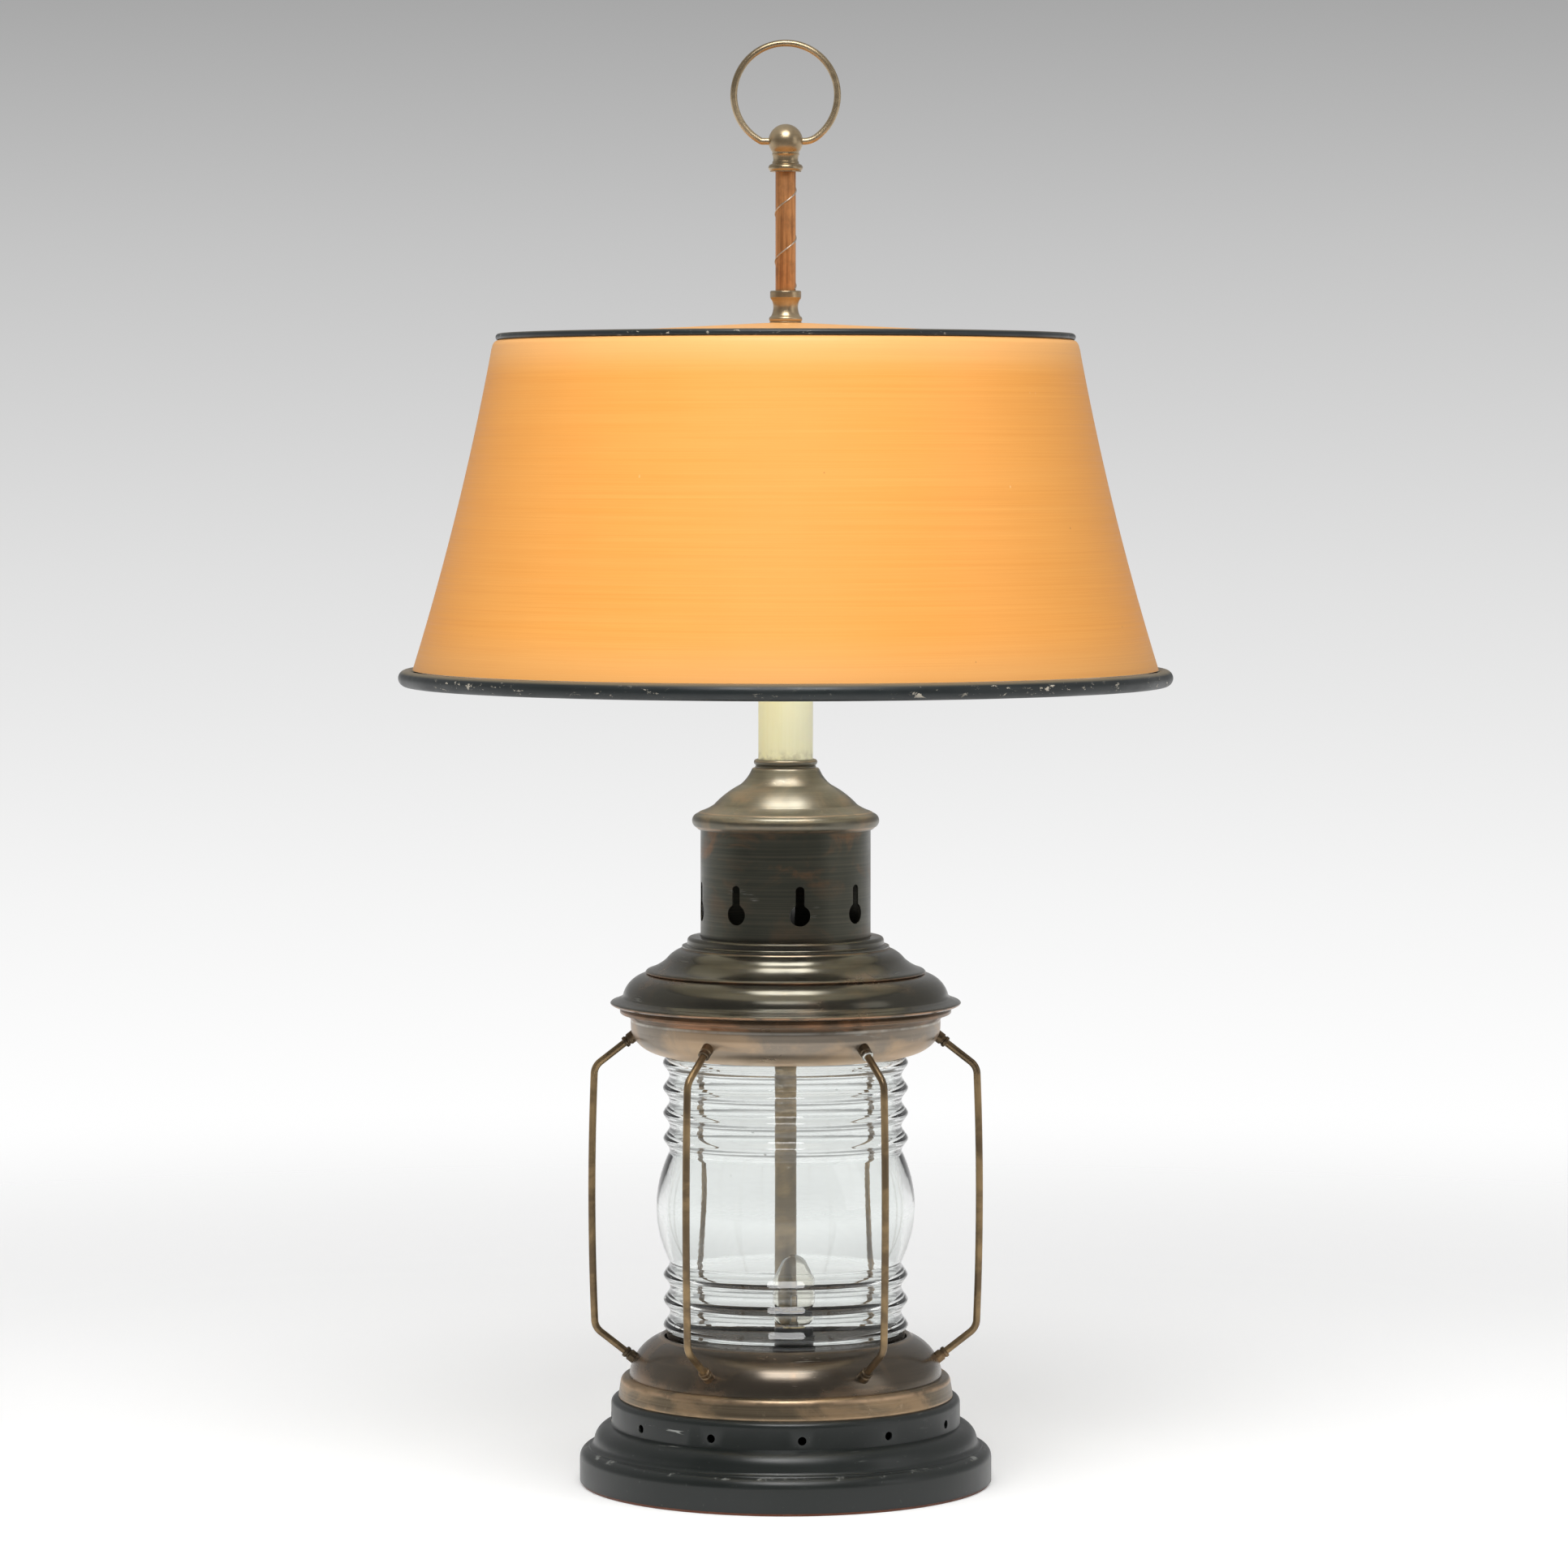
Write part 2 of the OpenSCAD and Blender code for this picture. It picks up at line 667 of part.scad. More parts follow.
// Rotary switch in the cup, with its threaded neck through the front
module switch_case() {
    color([0.15, 0.15, 0.15]) translate([0, 0, switch_z]) rotate([90, 0, 0]) difference() {
        union() {
            translate([0, 0, 9]) cylinder(r = 7.5, h = 11);
            translate([0, 0, 9]) cylinder(r = 4.4, h = 20);
            translate([0, 0, 26.2]) cylinder(d = 12, h = 1.8, $fn = 6);
        }
        translate([0, 0, 14]) cylinder(r = shaft_r + running_gap, h = 30, $fn = 48);
    }
}

module switch_shaft() {
    color("silver") translate([0, 0, switch_z]) rotate([90, 0, 0])
        translate([0, 0, 14.3]) cylinder(r = shaft_r, h = 19.7, $fn = 48);
}

// Ribbed turn knob, wider than it is long
module switch_knob() {
    grips = 16;
    color([0.12, 0.11, 0.1]) translate([0, 0, switch_z]) rotate([90, 0, 0]) difference() {
        rotate_extrude($fn = 64) polygon([
            [0, 34], [shaft_r, 34], [shaft_r, 29.6], [knob_r - 0.6, 29.6], [knob_r, 30.2],
            [knob_r - 0.5, 37.4], [knob_r - 1.6, 38.6], [0, 39.2]
        ]);
        for (i = [0 : grips - 1])
            rotate([0, 0, i * 360 / grips]) translate([knob_r + 0.35, 0, 29])
                cylinder(r = 0.7, h = 11, $fn = 24);
    }
}

// Spun brass shell with a rounded cap end
module lampholder(side) {
    shell = concat([[6 + fit, holder_start]], bow([8, holder_start], [holder_r, 33], -2.2, 7),
        [[holder_r, holder_end - 2], [holder_r + 0.5, holder_end - 1], [holder_r, holder_end]]);
    color("goldenrod") at_lamp(side) turned(concat(shell, [
        [holder_r - 0.9, holder_end], [holder_r - 0.9, 34], [8, holder_start + 1.6],
        [6 + fit, holder_start + 1.6]
    ]));
}

module lampholder_left() lampholder(-1);
module lampholder_right() lampholder(1);

// Insulating liner between the shell and the bulb's screw cap
module liner(side) {
    color("tan") at_lamp(side) union() {
        ring_plate(holder_r - 1.05, 14.1, 36, holder_end + 1.5 - 36);
        ring_plate(14.3, 5, 36, 1.5);
    }
}

module liner_left() liner(-1);
module liner_right() liner(1);

// Screw cap of a main bulb, drawn as its plain blank
module bulb_cap(side) {
    color("silver") at_lamp(side) turned([
        [0, 38.2], [4.5, 38.2], [7, 39.6], [12.4, 42], [13, 43], [13, bulb_foot + 1.5],
        [12.2, bulb_foot + 1.5], [12.2, 44], [0, 42]
    ]);
}

module bulb_cap_left() bulb_cap(-1);
module bulb_cap_right() bulb_cap(1);

// Outside of a main bulb along its own axis: neck, flank, round end
function main_bulb_outline() =
    let (flank = 28)
    concat(
        [[12, bulb_foot - 6], [12, bulb_foot + 1.6], [13.2, bulb_foot + 3]],
        bow([13.6, bulb_foot + 6], [bulb_r * cos(flank), bulb_centre - bulb_r * sin(flank)], 2, 7),
        arc(0, bulb_centre, bulb_r, bulb_r, 6 - flank, 90, 14)
    );

module main_bulb(side) {
    outside = main_bulb_outline();
    color([0.97, 0.96, 0.92, 0.8]) at_lamp(side)
        turned(concat(outside, [[0, bulb_centre + bulb_r - 1]], reversed(inset(outside, 0.9))));
}

module main_bulb_left() main_bulb(-1);
module main_bulb_right() main_bulb(1);

// Rod from the cluster through the lid into the spool
module riser_rod() {
    color([0.6, 0.5, 0.32]) union() {
        translate([0, 0, 508.2]) cylinder(r = 8, h = 1.4);
        translate([0, 0, 508.2]) cylinder(r = 4.75, h = 652 - 508.2);
    }
}

// Disc that carries the lid
module shade_seat() {
    top = z_lid_top - 0.9 - thrust_gap;
    color([0.55, 0.45, 0.28]) turned([
        [4.85, 630], [8, 630], [8, top - 2.4], [13, top - 1.4], [13, top], [4.85, top]
    ]);
}

// Shade

// Outer radius of the shade at a share t of the way down from its shoulder
function shade_r(t) =
    shade_top_r + (shade_bottom_r - shade_top_r) * ((1 - shade_late_flare) * t
        + shade_late_flare * t * t);

// Outside of the shade from its bottom up to the seam under the lid
function shade_outline() =
    let (n = 16, height = z_shade_shoulder - z_shade_bottom)
    concat(
        [for (i = [n : -1 : 0]) [shade_r(i / n), z_shade_shoulder - height * i / n]],
        bow([shade_top_r - 0.6, 630], [shade_top_r - 4.2, 633.4], -0.8, 4),
        [[shade_top_r - 6, z_lid_rim]]
    );

module shade_shell() {
    outside = shade_outline();
    color([0.93, 0.6, 0.25]) turned(concat(
        outside,
        [[shade_top_r - 12, z_lid_rim], [shade_top_r - 12, z_lid_rim - shade_wall]],
        reversed(inset([for (i = [0 : len(outside) - 2]) outside[i]], shade_wall))
    ));
}

// Shallow cone that closes the top, with a flat round its hole
module shade_lid() {
    rim = shade_top_r - 6.4;
    color([0.93, 0.6, 0.25]) turned([
        [5.3, z_lid_top - 0.9], [14, z_lid_top - 0.9], [rim - 6, z_lid_rim], [rim, z_lid_rim],
        [rim, z_lid_rim + 0.9], [rim - 6, z_lid_rim + 1.1], [14, z_lid_top], [5.3, z_lid_top]
    ]);
}

// Rolled bead round the seam between the lid and the shade
module shade_top_bead() {
    mid = shade_top_r - 4.4;
    color([0.16, 0.18, 0.16]) turned(concat(
        arc(mid, 634.8, 2.1, 2, -40, 158, 12),
        [[shade_top_r - 6.3, z_lid_rim + 0.05], [shade_top_r - 6, z_lid_rim + 0.05],
         [shade_top_r - 4.1, 633.5]]
    ));
}

// Hollow rolled bead, open where the sheet goes into it
module shade_bottom_bead() {
    r = shade_bottom_r + shade_bead_r - 1;
    z = z_shade_bottom - shade_bead_r;
    color([0.16, 0.18, 0.16]) turned(concat(
        arc(r, z, shade_bead_r, shade_bead_r, -190, 140, 24),
        arc(r, z, shade_bead_r - 1.1, shade_bead_r - 1.1, 140, -190, 18)
    ));
}

// Finial

module finial_spool() {
    bore = 4.85;
    tube_hole = spiral_tube_d / 2 + fit;
    color([0.68, 0.56, 0.36]) turned(concat(
        [[bore, z_spool], [8.9, z_spool], [8.9, 643.4]],
        arc(7.7, 644.9, 1.5, 1.6, -80, 70, 6),
        bow([7.9, 646.8], [7.6, 655.2], 0.9, 7),
        [[8.4, 656.2], [8.6, 656.8], [8.6, 659.8], [8.2, z_spool_top], [tube_hole, z_spool_top],
         [tube_hole, 656.4], [2, 656.4], [2, 653], [bore, 653]]
    ));
}

module spiral_tube() {
    r = spiral_tube_d / 2;
    color([0.72, 0.43, 0.25]) ring_plate(r, r - 1, 656.6, z_neck + 3 - 656.6);
}

// Half-round wire laid round the tube on a helix, as rings of points joined into one tube
inlay_z = z_spool_top + 0.8;
inlay_turns = (z_neck - 1 - inlay_z) / spiral_pitch;
inlay_steps = 24;
inlay_r = 0.45;
inlay_first = -28;

function helix_point(s) =
    let (a = inlay_first + 360 * s, r = spiral_tube_d / 2 + 0.06)
    [r * cos(a), r * sin(a), inlay_z + spiral_pitch * s];

// Frame of the helix at s: outwards, and square to both that and the path
function helix_out(s) = let (a = inlay_first + 360 * s) [cos(a), sin(a), 0];
function helix_along(s) =
    let (a = inlay_first + 360 * s, r = spiral_tube_d / 2, v = [-sin(a) * r * 2 * PI,
        cos(a) * r * 2 * PI, spiral_pitch])
    v / norm(v);

module spiral_inlay() {
    rings = floor(inlay_turns * inlay_steps);
    sides = 6;
    points = [for (i = [0 : rings]) let (s = i / inlay_steps, o = helix_out(s),
        u = cross(helix_along(s), o)) for (k = [0 : sides - 1])
            let (t = 180 * k / (sides - 1) - 90)
            helix_point(s) + inlay_r * (cos(t) * o + sin(t) * u)];
    faces = concat(
        [[for (k = [0 : sides - 1]) k]],
        [for (i = [0 : rings - 1]) for (k = [0 : sides - 1]) let (j = (k + 1) % sides)
            each [[i * sides + k, (i + 1) * sides + k, (i + 1) * sides + j],
                [i * sides + k, (i + 1) * sides + j, i * sides + j]]],
        [[for (k = [sides - 1 : -1 : 0]) rings * sides + k]]
    );
    color([0.9, 0.82, 0.7]) polyhedron(points, faces);
}

// Ball on a turned neck and flange, with a cross hole for the ring
module finial_ball() {
    tube_hole = spiral_tube_d / 2 + fit;
    color([0.68, 0.56, 0.36]) difference() {
        turned(concat(
            [[tube_hole, z_neck], [8.6, z_neck]],
            arc(7.6, 727.9, 1.9, 2, -60, 80, 7),
            [[7.4, 730.2], [7.3, 731.2]],
            bow([6.9, 731.6], [7.7, 735.4], 0.3, 4),
            [[7.3, 735.7]],
            arc(0, z_ball, ball_r, ball_r, -38, 90, 16),
            [[0, z_neck + 3.2], [tube_hole, z_neck + 3.2]]
        ));
        translate([-20, 0, z_ball]) rotate([0, 90, 0])
            cylinder(d = ring_wire_d + 2 * running_gap, h = 40, $fn = 48);
    }
}

// Ring of one wire. Its ends turn in to the ball along the hinge axis, with a sharp bend on the
// left and a soft one on the right.
ring_rise = 25.2;
soft_bend_r = 12;
sharp_bend_r = 2.6;
stub_end = 3.5;

// Angle at which a bend of radius b leaves the ring so that it ends level with the hinge axis
function bend_start(b) = acos((ring_rise - b) / (ring_r - b));
function bend_foot(b) = (ring_r - b) * sin(bend_start(b));

module finial_ring() {
    soft = bend_start(soft_bend_r);
    sharp = bend_start(sharp_bend_r);
    color([0.68, 0.56, 0.36]) translate([stub_end, 0, z_ball]) bent_wire(ring_wire_d, [
        [bend_foot(soft_bend_r) - stub_end, 0], [soft_bend_r, soft],
        [ring_r, 360 - soft - sharp], [sharp_bend_r, sharp],
        [bend_foot(sharp_bend_r) - stub_end, 0]
    ]);
}

foot_felt();
bottom_board();
base_weight();
foot_plinth();
cord_bushing();
base_band();
lower_gallery();
lower_gasket();
globe_glass();
upper_gasket();
guard_wire_1();
guard_wire_2();
guard_wire_3();
guard_wire_4();
guard_wire_5();
guard_wire_6();
guard_ferrules_lower();
guard_ferrules_upper();
upper_gallery();
brim_ring();
hood_dome();
hood_cowl();
chimney_foot_ring();
chimney();
chimney_cap();
cap_collar();
candle_sleeve();
stem_pipe();
stem_sheath();
stem_nuts();
night_light_bracket();
night_light_socket();
night_light_cap();
night_light_bulb();
night_light_filament();
cluster_body();
cluster_cover();
switch_case();
switch_shaft();
switch_knob();
lampholder_left();
lampholder_right();
liner_left();
liner_right();
bulb_cap_left();
bulb_cap_right();
main_bulb_left();
main_bulb_right();
riser_rod();
shade_seat();
shade_shell();
shade_lid();
shade_top_bead();
shade_bottom_bead();
finial_spool();
spiral_tube();
spiral_inlay();
finial_ball();
finial_ring();
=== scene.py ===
"""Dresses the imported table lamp: an electric lamp in the form of a ship's oil lantern.

Every spun, turned or drawn piece is worked out again as a smooth surface from the same sizes as
the solids, and gets a finish of its own. The row frame is used throughout: +Z up, front to -Y,
with the origin under the middle of the felt.
"""

import math

import bmesh
import bpy
import numpy as np
from bpy.props import FloatProperty, FloatVectorProperty, PointerProperty
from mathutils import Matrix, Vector


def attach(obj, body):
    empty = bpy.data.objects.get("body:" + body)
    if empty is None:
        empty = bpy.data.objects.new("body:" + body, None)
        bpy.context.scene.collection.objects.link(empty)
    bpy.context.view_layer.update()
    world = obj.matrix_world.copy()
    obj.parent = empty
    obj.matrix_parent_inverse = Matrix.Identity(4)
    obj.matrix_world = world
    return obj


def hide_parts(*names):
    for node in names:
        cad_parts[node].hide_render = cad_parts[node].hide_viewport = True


bl_info = {
    "name": "Lantern table lamp",
    "version": (1, 0, 0),
    "blender": (4, 5, 0),
    "location": "View3D > Sidebar > Lantern",
    "description": "Builds a table lamp in the form of a ship's oil lantern",
    "category": "Add Mesh",
}

MM = 0.001
GUARDS = 6

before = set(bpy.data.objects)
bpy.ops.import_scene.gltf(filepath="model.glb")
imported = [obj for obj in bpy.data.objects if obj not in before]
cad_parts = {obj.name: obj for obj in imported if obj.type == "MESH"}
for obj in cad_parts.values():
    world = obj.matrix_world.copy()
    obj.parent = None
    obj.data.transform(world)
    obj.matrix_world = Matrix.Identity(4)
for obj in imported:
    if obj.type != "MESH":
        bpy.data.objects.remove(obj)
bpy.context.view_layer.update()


# Outlines of turned pieces: arrays of (radius, height) rows in millimetres


def curve(cr, cz, rr, rz, a, b, n=16):
    """Elliptic arc: centre plus the two radii times cosine and sine of angles from a to b degrees."""
    t = np.radians(np.linspace(a, b, n + 1))
    return np.stack([cr + rr * np.cos(t), cz + rz * np.sin(t)], 1)


def bowed(a, b, sag, n=12):
    """Straight run from a to b plus a parabola that stands sag to the left at the middle."""
    a, b = np.array(a, float), np.array(b, float)
    t = np.linspace(0, 1, n + 1)[:, None]
    d = (b - a) / np.hypot(*(b - a))
    return a + (b - a) * t + 4 * sag * t * (1 - t) * np.array([-d[1], d[0]])


def outline(*parts, r=0.25, closed=True, n=3):
    """Joins arcs and single corners in order. A single corner (radius, height) or (radius, height,
    rounding) is rounded by an arc that touches both its edges; points of arcs are kept."""
    rows = []
    for part in parts:
        part = np.array(part, float)
        if part.ndim == 1:
            rows.append((part[0], part[1], part[2] if part.size > 2 else r))
        else:
            rows.extend((p[0], p[1], 0.0) for p in part)
    out = []
    count = len(rows)
    for i, (x, z, rounding) in enumerate(rows):
        p = np.array([x, z])
        first, last = i == 0, i == count - 1
        if rounding <= 0 or (not closed and (first or last)):
            out.append(p)
            continue
        before = np.array(rows[i - 1][:2]) - p
        after = np.array(rows[(i + 1) % count][:2]) - p
        lb, la = np.hypot(*before), np.hypot(*after)
        ub, ua = before / lb, after / la
        half = math.acos(np.clip(ub @ ua, -1, 1)) / 2
        reach = min(rounding / max(math.tan(half), 1e-6), lb * 0.45, la * 0.45)
        t = np.linspace(0, 1, n + 2)[:, None]
        out.extend((1 - t) ** 2 * (p + ub * reach) + 2 * t * (1 - t) * p + t**2 * (p + ua * reach))
    return np.array(out)


def left_inset(p, t):
    """The outline moved to the left of its direction by t, normal by normal."""
    d = np.gradient(p, axis=0)
    d /= np.hypot(d[:, 0], d[:, 1])[:, None]
    q = p + t * np.stack([-d[:, 1], d[:, 0]], 1)
    q[:, 0] = np.maximum(q[:, 0], 0)
    return q


# Meshes


def put_mesh(name, points, faces, sharp=40):
    """Makes an object from rows of points in millimetres and lists of vertex numbers, with its
    doubles merged, its outside turned outwards and its edges sharp above an angle."""
    mesh = bpy.data.meshes.new(name)
    mesh.from_pydata((points * MM).tolist(), [], faces)
    tidy = bmesh.new()
    tidy.from_mesh(mesh)
    bmesh.ops.remove_doubles(tidy, verts=tidy.verts, dist=1e-6)
    bmesh.ops.dissolve_degenerate(tidy, edges=tidy.edges, dist=1e-7)
    bmesh.ops.recalc_face_normals(tidy, faces=tidy.faces)
    tidy.to_mesh(mesh)
    tidy.free()
    return finish_mesh(name, mesh, sharp)


def finish_mesh(name, mesh, sharp):
    """Shades a mesh smooth below an angle and puts it in the scene."""
    mesh.shade_smooth()
    mesh.set_sharp_from_angle(angle=math.radians(sharp))
    piece = bpy.data.objects.new(name, mesh)
    bpy.context.scene.collection.objects.link(piece)
    return piece


def grid_faces(rows, columns, wrap_rows, wrap_columns):
    """Quads of a grid of rows by columns of points, joined end to end where a side wraps. Where
    the rows don't wrap, one flat face closes each end."""
    i = np.arange(rows if wrap_rows else rows - 1)[:, None]
    j = np.arange(columns if wrap_columns else columns - 1)[None, :]
    i2, j2 = (i + 1) % rows, (j + 1) % columns
    quads = np.stack([i * columns + j, i * columns + j2, i2 * columns + j2, i2 * columns + j], -1)
    ends = [] if wrap_rows else [
        list(range(columns)), list(range((rows - 1) * columns, rows * columns))]
    return quads.reshape(-1, 4).tolist() + ends


def turned(name, profile, steps=256, sharp=40, wobble=None, at=(0, 0, 0), lean=None):
    """Surface of revolution: each profile row (radius, height) is carried round the stem, as
    x = r cos(t), y = r sin(t), z = height. wobble(t, z) is added to the radius. lean is a 3x3
    matrix applied before the move to at."""
    t = np.linspace(0, 2 * np.pi, steps, endpoint=False)[:, None]
    r, z = profile[None, :, 0], profile[None, :, 1]
    r = r + (wobble(t, z) * (r > 0.01) if wobble else 0) + 0 * t
    points = np.stack([r * np.cos(t), r * np.sin(t), z + 0 * t], -1).reshape(-1, 3)
    if lean is not None:
        points = points @ np.array(lean).T
    points = points + np.array(at)
    return put_mesh(name, points, grid_faces(steps, len(profile), True, True), sharp)


def drawn(name, path, radius, sides=32):
    """Round wire along a path: at each path point, a circle of the given radius in the plane
    square to the path. The path is flat, and the circles start in its plane."""
    along = np.gradient(path, axis=0)
    along /= np.linalg.norm(along, axis=1)[:, None]
    plane = np.linalg.svd(path - path.mean(0), full_matrices=False)[2][2]
    side = np.cross(along, plane)
    side /= np.linalg.norm(side, axis=1)[:, None]
    up = np.cross(side, along)
    a = np.linspace(0, 2 * np.pi, sides, endpoint=False)
    ring = radius * (
        side[:, None, :] * np.cos(a)[None, :, None] + up[:, None, :] * np.sin(a)[None, :, None])
    points = (path[:, None, :] + ring).reshape(-1, 3)
    return put_mesh(name, points, grid_faces(len(path), sides, False, True), 50)


def smoothed(node, name, sharp=32):
    """A copy of a CAD node with its doubles merged and its curved faces shaded smooth."""
    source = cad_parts[node]
    mesh = source.data.copy()
    mesh.materials.clear()
    tidy = bmesh.new()
    tidy.from_mesh(mesh)
    bmesh.ops.remove_doubles(tidy, verts=tidy.verts, dist=2e-6)
    tidy.to_mesh(mesh)
    tidy.free()
    if mesh.attributes.get("custom_normal"):
        mesh.attributes.remove(mesh.attributes["custom_normal"])
    return finish_mesh(name, mesh, sharp)


def place(piece, body, material, slot, *nodes):
    """Gives a piece its finish, its body and the CAD nodes that it stands for."""
    piece.data.materials.clear()
    piece.data.materials.append(material)
    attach(piece, body)
    if nodes:
        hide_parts(*nodes)
    return piece


# Finishes


class Finish:
    """One material's node tree. Each method adds a node and returns its output."""

    def __init__(self, name):
        self.material = bpy.data.materials.new(name)
        self.material.use_nodes = True
        self.tree = self.material.node_tree
        self.tree.nodes.clear()
        self.out = self.add("ShaderNodeOutputMaterial")
        self.point = self.add("ShaderNodeTexCoord").outputs["Object"]

    def add(self, kind, **settings):
        node = self.tree.nodes.new(kind)
        for key, value in settings.items():
            setattr(node, key, value)
        return node

    def feed(self, socket, value):
        if isinstance(value, bpy.types.NodeSocket):
            self.tree.links.new(value, socket)
        elif value is not None:
            if socket.type == "RGBA" and len(value) == 3:
                value = (*value, 1.0)
            socket.default_value = value

    def math(self, operation, a, b=None, c=None, clamp=False):
        node = self.add("ShaderNodeMath", operation=operation, use_clamp=clamp)
        for socket, value in zip(node.inputs, (a, b, c)):
            self.feed(socket, value)
        return node.outputs[0]

    def axes(self):
        node = self.add("ShaderNodeSeparateXYZ")
        self.feed(node.inputs[0], self.point)
        return node.outputs[0], node.outputs[1], node.outputs[2]

    def normal_axes(self):
        node = self.add("ShaderNodeSeparateXYZ")
        self.feed(node.inputs[0], self.add("ShaderNodeNewGeometry").outputs["Normal"])
        return node.outputs[0], node.outputs[1], node.outputs[2]

    def vector(self, x, y, z):
        node = self.add("ShaderNodeCombineXYZ")
        for socket, value in zip(node.inputs, (x, y, z)):
            self.feed(socket, value)
        return node.outputs[0]

    def scaled(self, vector, factors):
        node = self.add("ShaderNodeVectorMath", operation="MULTIPLY")
        self.feed(node.inputs[0], vector)
        node.inputs[1].default_value = factors
        return node.outputs[0]

    def noise(self, vector, scale, detail=4.0, rough=0.55, warp=0.0):
        node = self.add("ShaderNodeTexNoise")
        self.feed(node.inputs["Vector"], vector)
        node.inputs["Scale"].default_value = scale
        node.inputs["Detail"].default_value = detail
        node.inputs["Roughness"].default_value = rough
        node.inputs["Distortion"].default_value = warp
        return node.outputs["Fac"]

    def cells(self, vector, scale, feature="F1"):
        node = self.add("ShaderNodeTexVoronoi", feature=feature)
        self.feed(node.inputs["Vector"], vector)
        node.inputs["Scale"].default_value = scale
        return node.outputs["Distance"]

    def ramp(self, value, low, high, a=0.0, b=1.0):
        """Maps low..high to a..b, smoothly, and holds it outside."""
        node = self.add("ShaderNodeMapRange", interpolation_type="SMOOTHSTEP")
        for socket, number in zip(node.inputs, (value, low, high, a, b)):
            self.feed(socket, number)
        return node.outputs[0]

    def mix(self, share, a, b, blend="MIX"):
        node = self.add("ShaderNodeMix", data_type="RGBA", blend_type=blend)
        self.feed(node.inputs[0], share)
        self.feed(node.inputs[6], a)
        self.feed(node.inputs[7], b)
        return node.outputs[2]

    def bump(self, height, distance, strength=1.0, under=None):
        node = self.add("ShaderNodeBump")
        self.feed(node.inputs["Height"], height)
        node.inputs["Distance"].default_value = distance
        node.inputs["Strength"].default_value = strength
        if under is not None:
            self.feed(node.inputs["Normal"], under)
        return node.outputs[0]

    def around(self, across=10.0, fine=1400.0):
        """Coordinates for marks that run round a turned piece: slow round it, quick across."""
        x, y, z = self.axes()
        radius = self.math("SQRT", self.math("ADD", self.math("MULTIPLY", x, x),
                                             self.math("MULTIPLY", y, y)))
        run = self.math("SUBTRACT", z, radius)
        return self.vector(self.math("MULTIPLY", x, across), self.math("MULTIPLY", y, across),
                           self.math("MULTIPLY", run, fine))

    def line(self, value, centre, half, soft=0.0):
        """1 on the level centre, falling to 0 at half to either side."""
        away = self.math("ABSOLUTE", self.math("SUBTRACT", value, centre))
        return self.ramp(away, half, half * soft, 0.0, 1.0)

    def surface(self, **sockets):
        shader = self.add("ShaderNodeBsdfPrincipled")
        names = {"colour": "Base Color", "metal": "Metallic", "rough": "Roughness",
                 "normal": "Normal", "ior": "IOR", "clear": "Transmission Weight",
                 "shine": "Specular IOR Level",
                 "sheen": "Sheen Weight", "sheen_rough": "Sheen Roughness",
                 "under": "Subsurface Weight", "under_reach": "Subsurface Radius",
                 "under_scale": "Subsurface Scale"}
        for key, value in sockets.items():
            self.feed(shader.inputs[names[key]], value)
        self.tree.links.new(shader.outputs[0], self.out.inputs["Surface"])
        return self.material


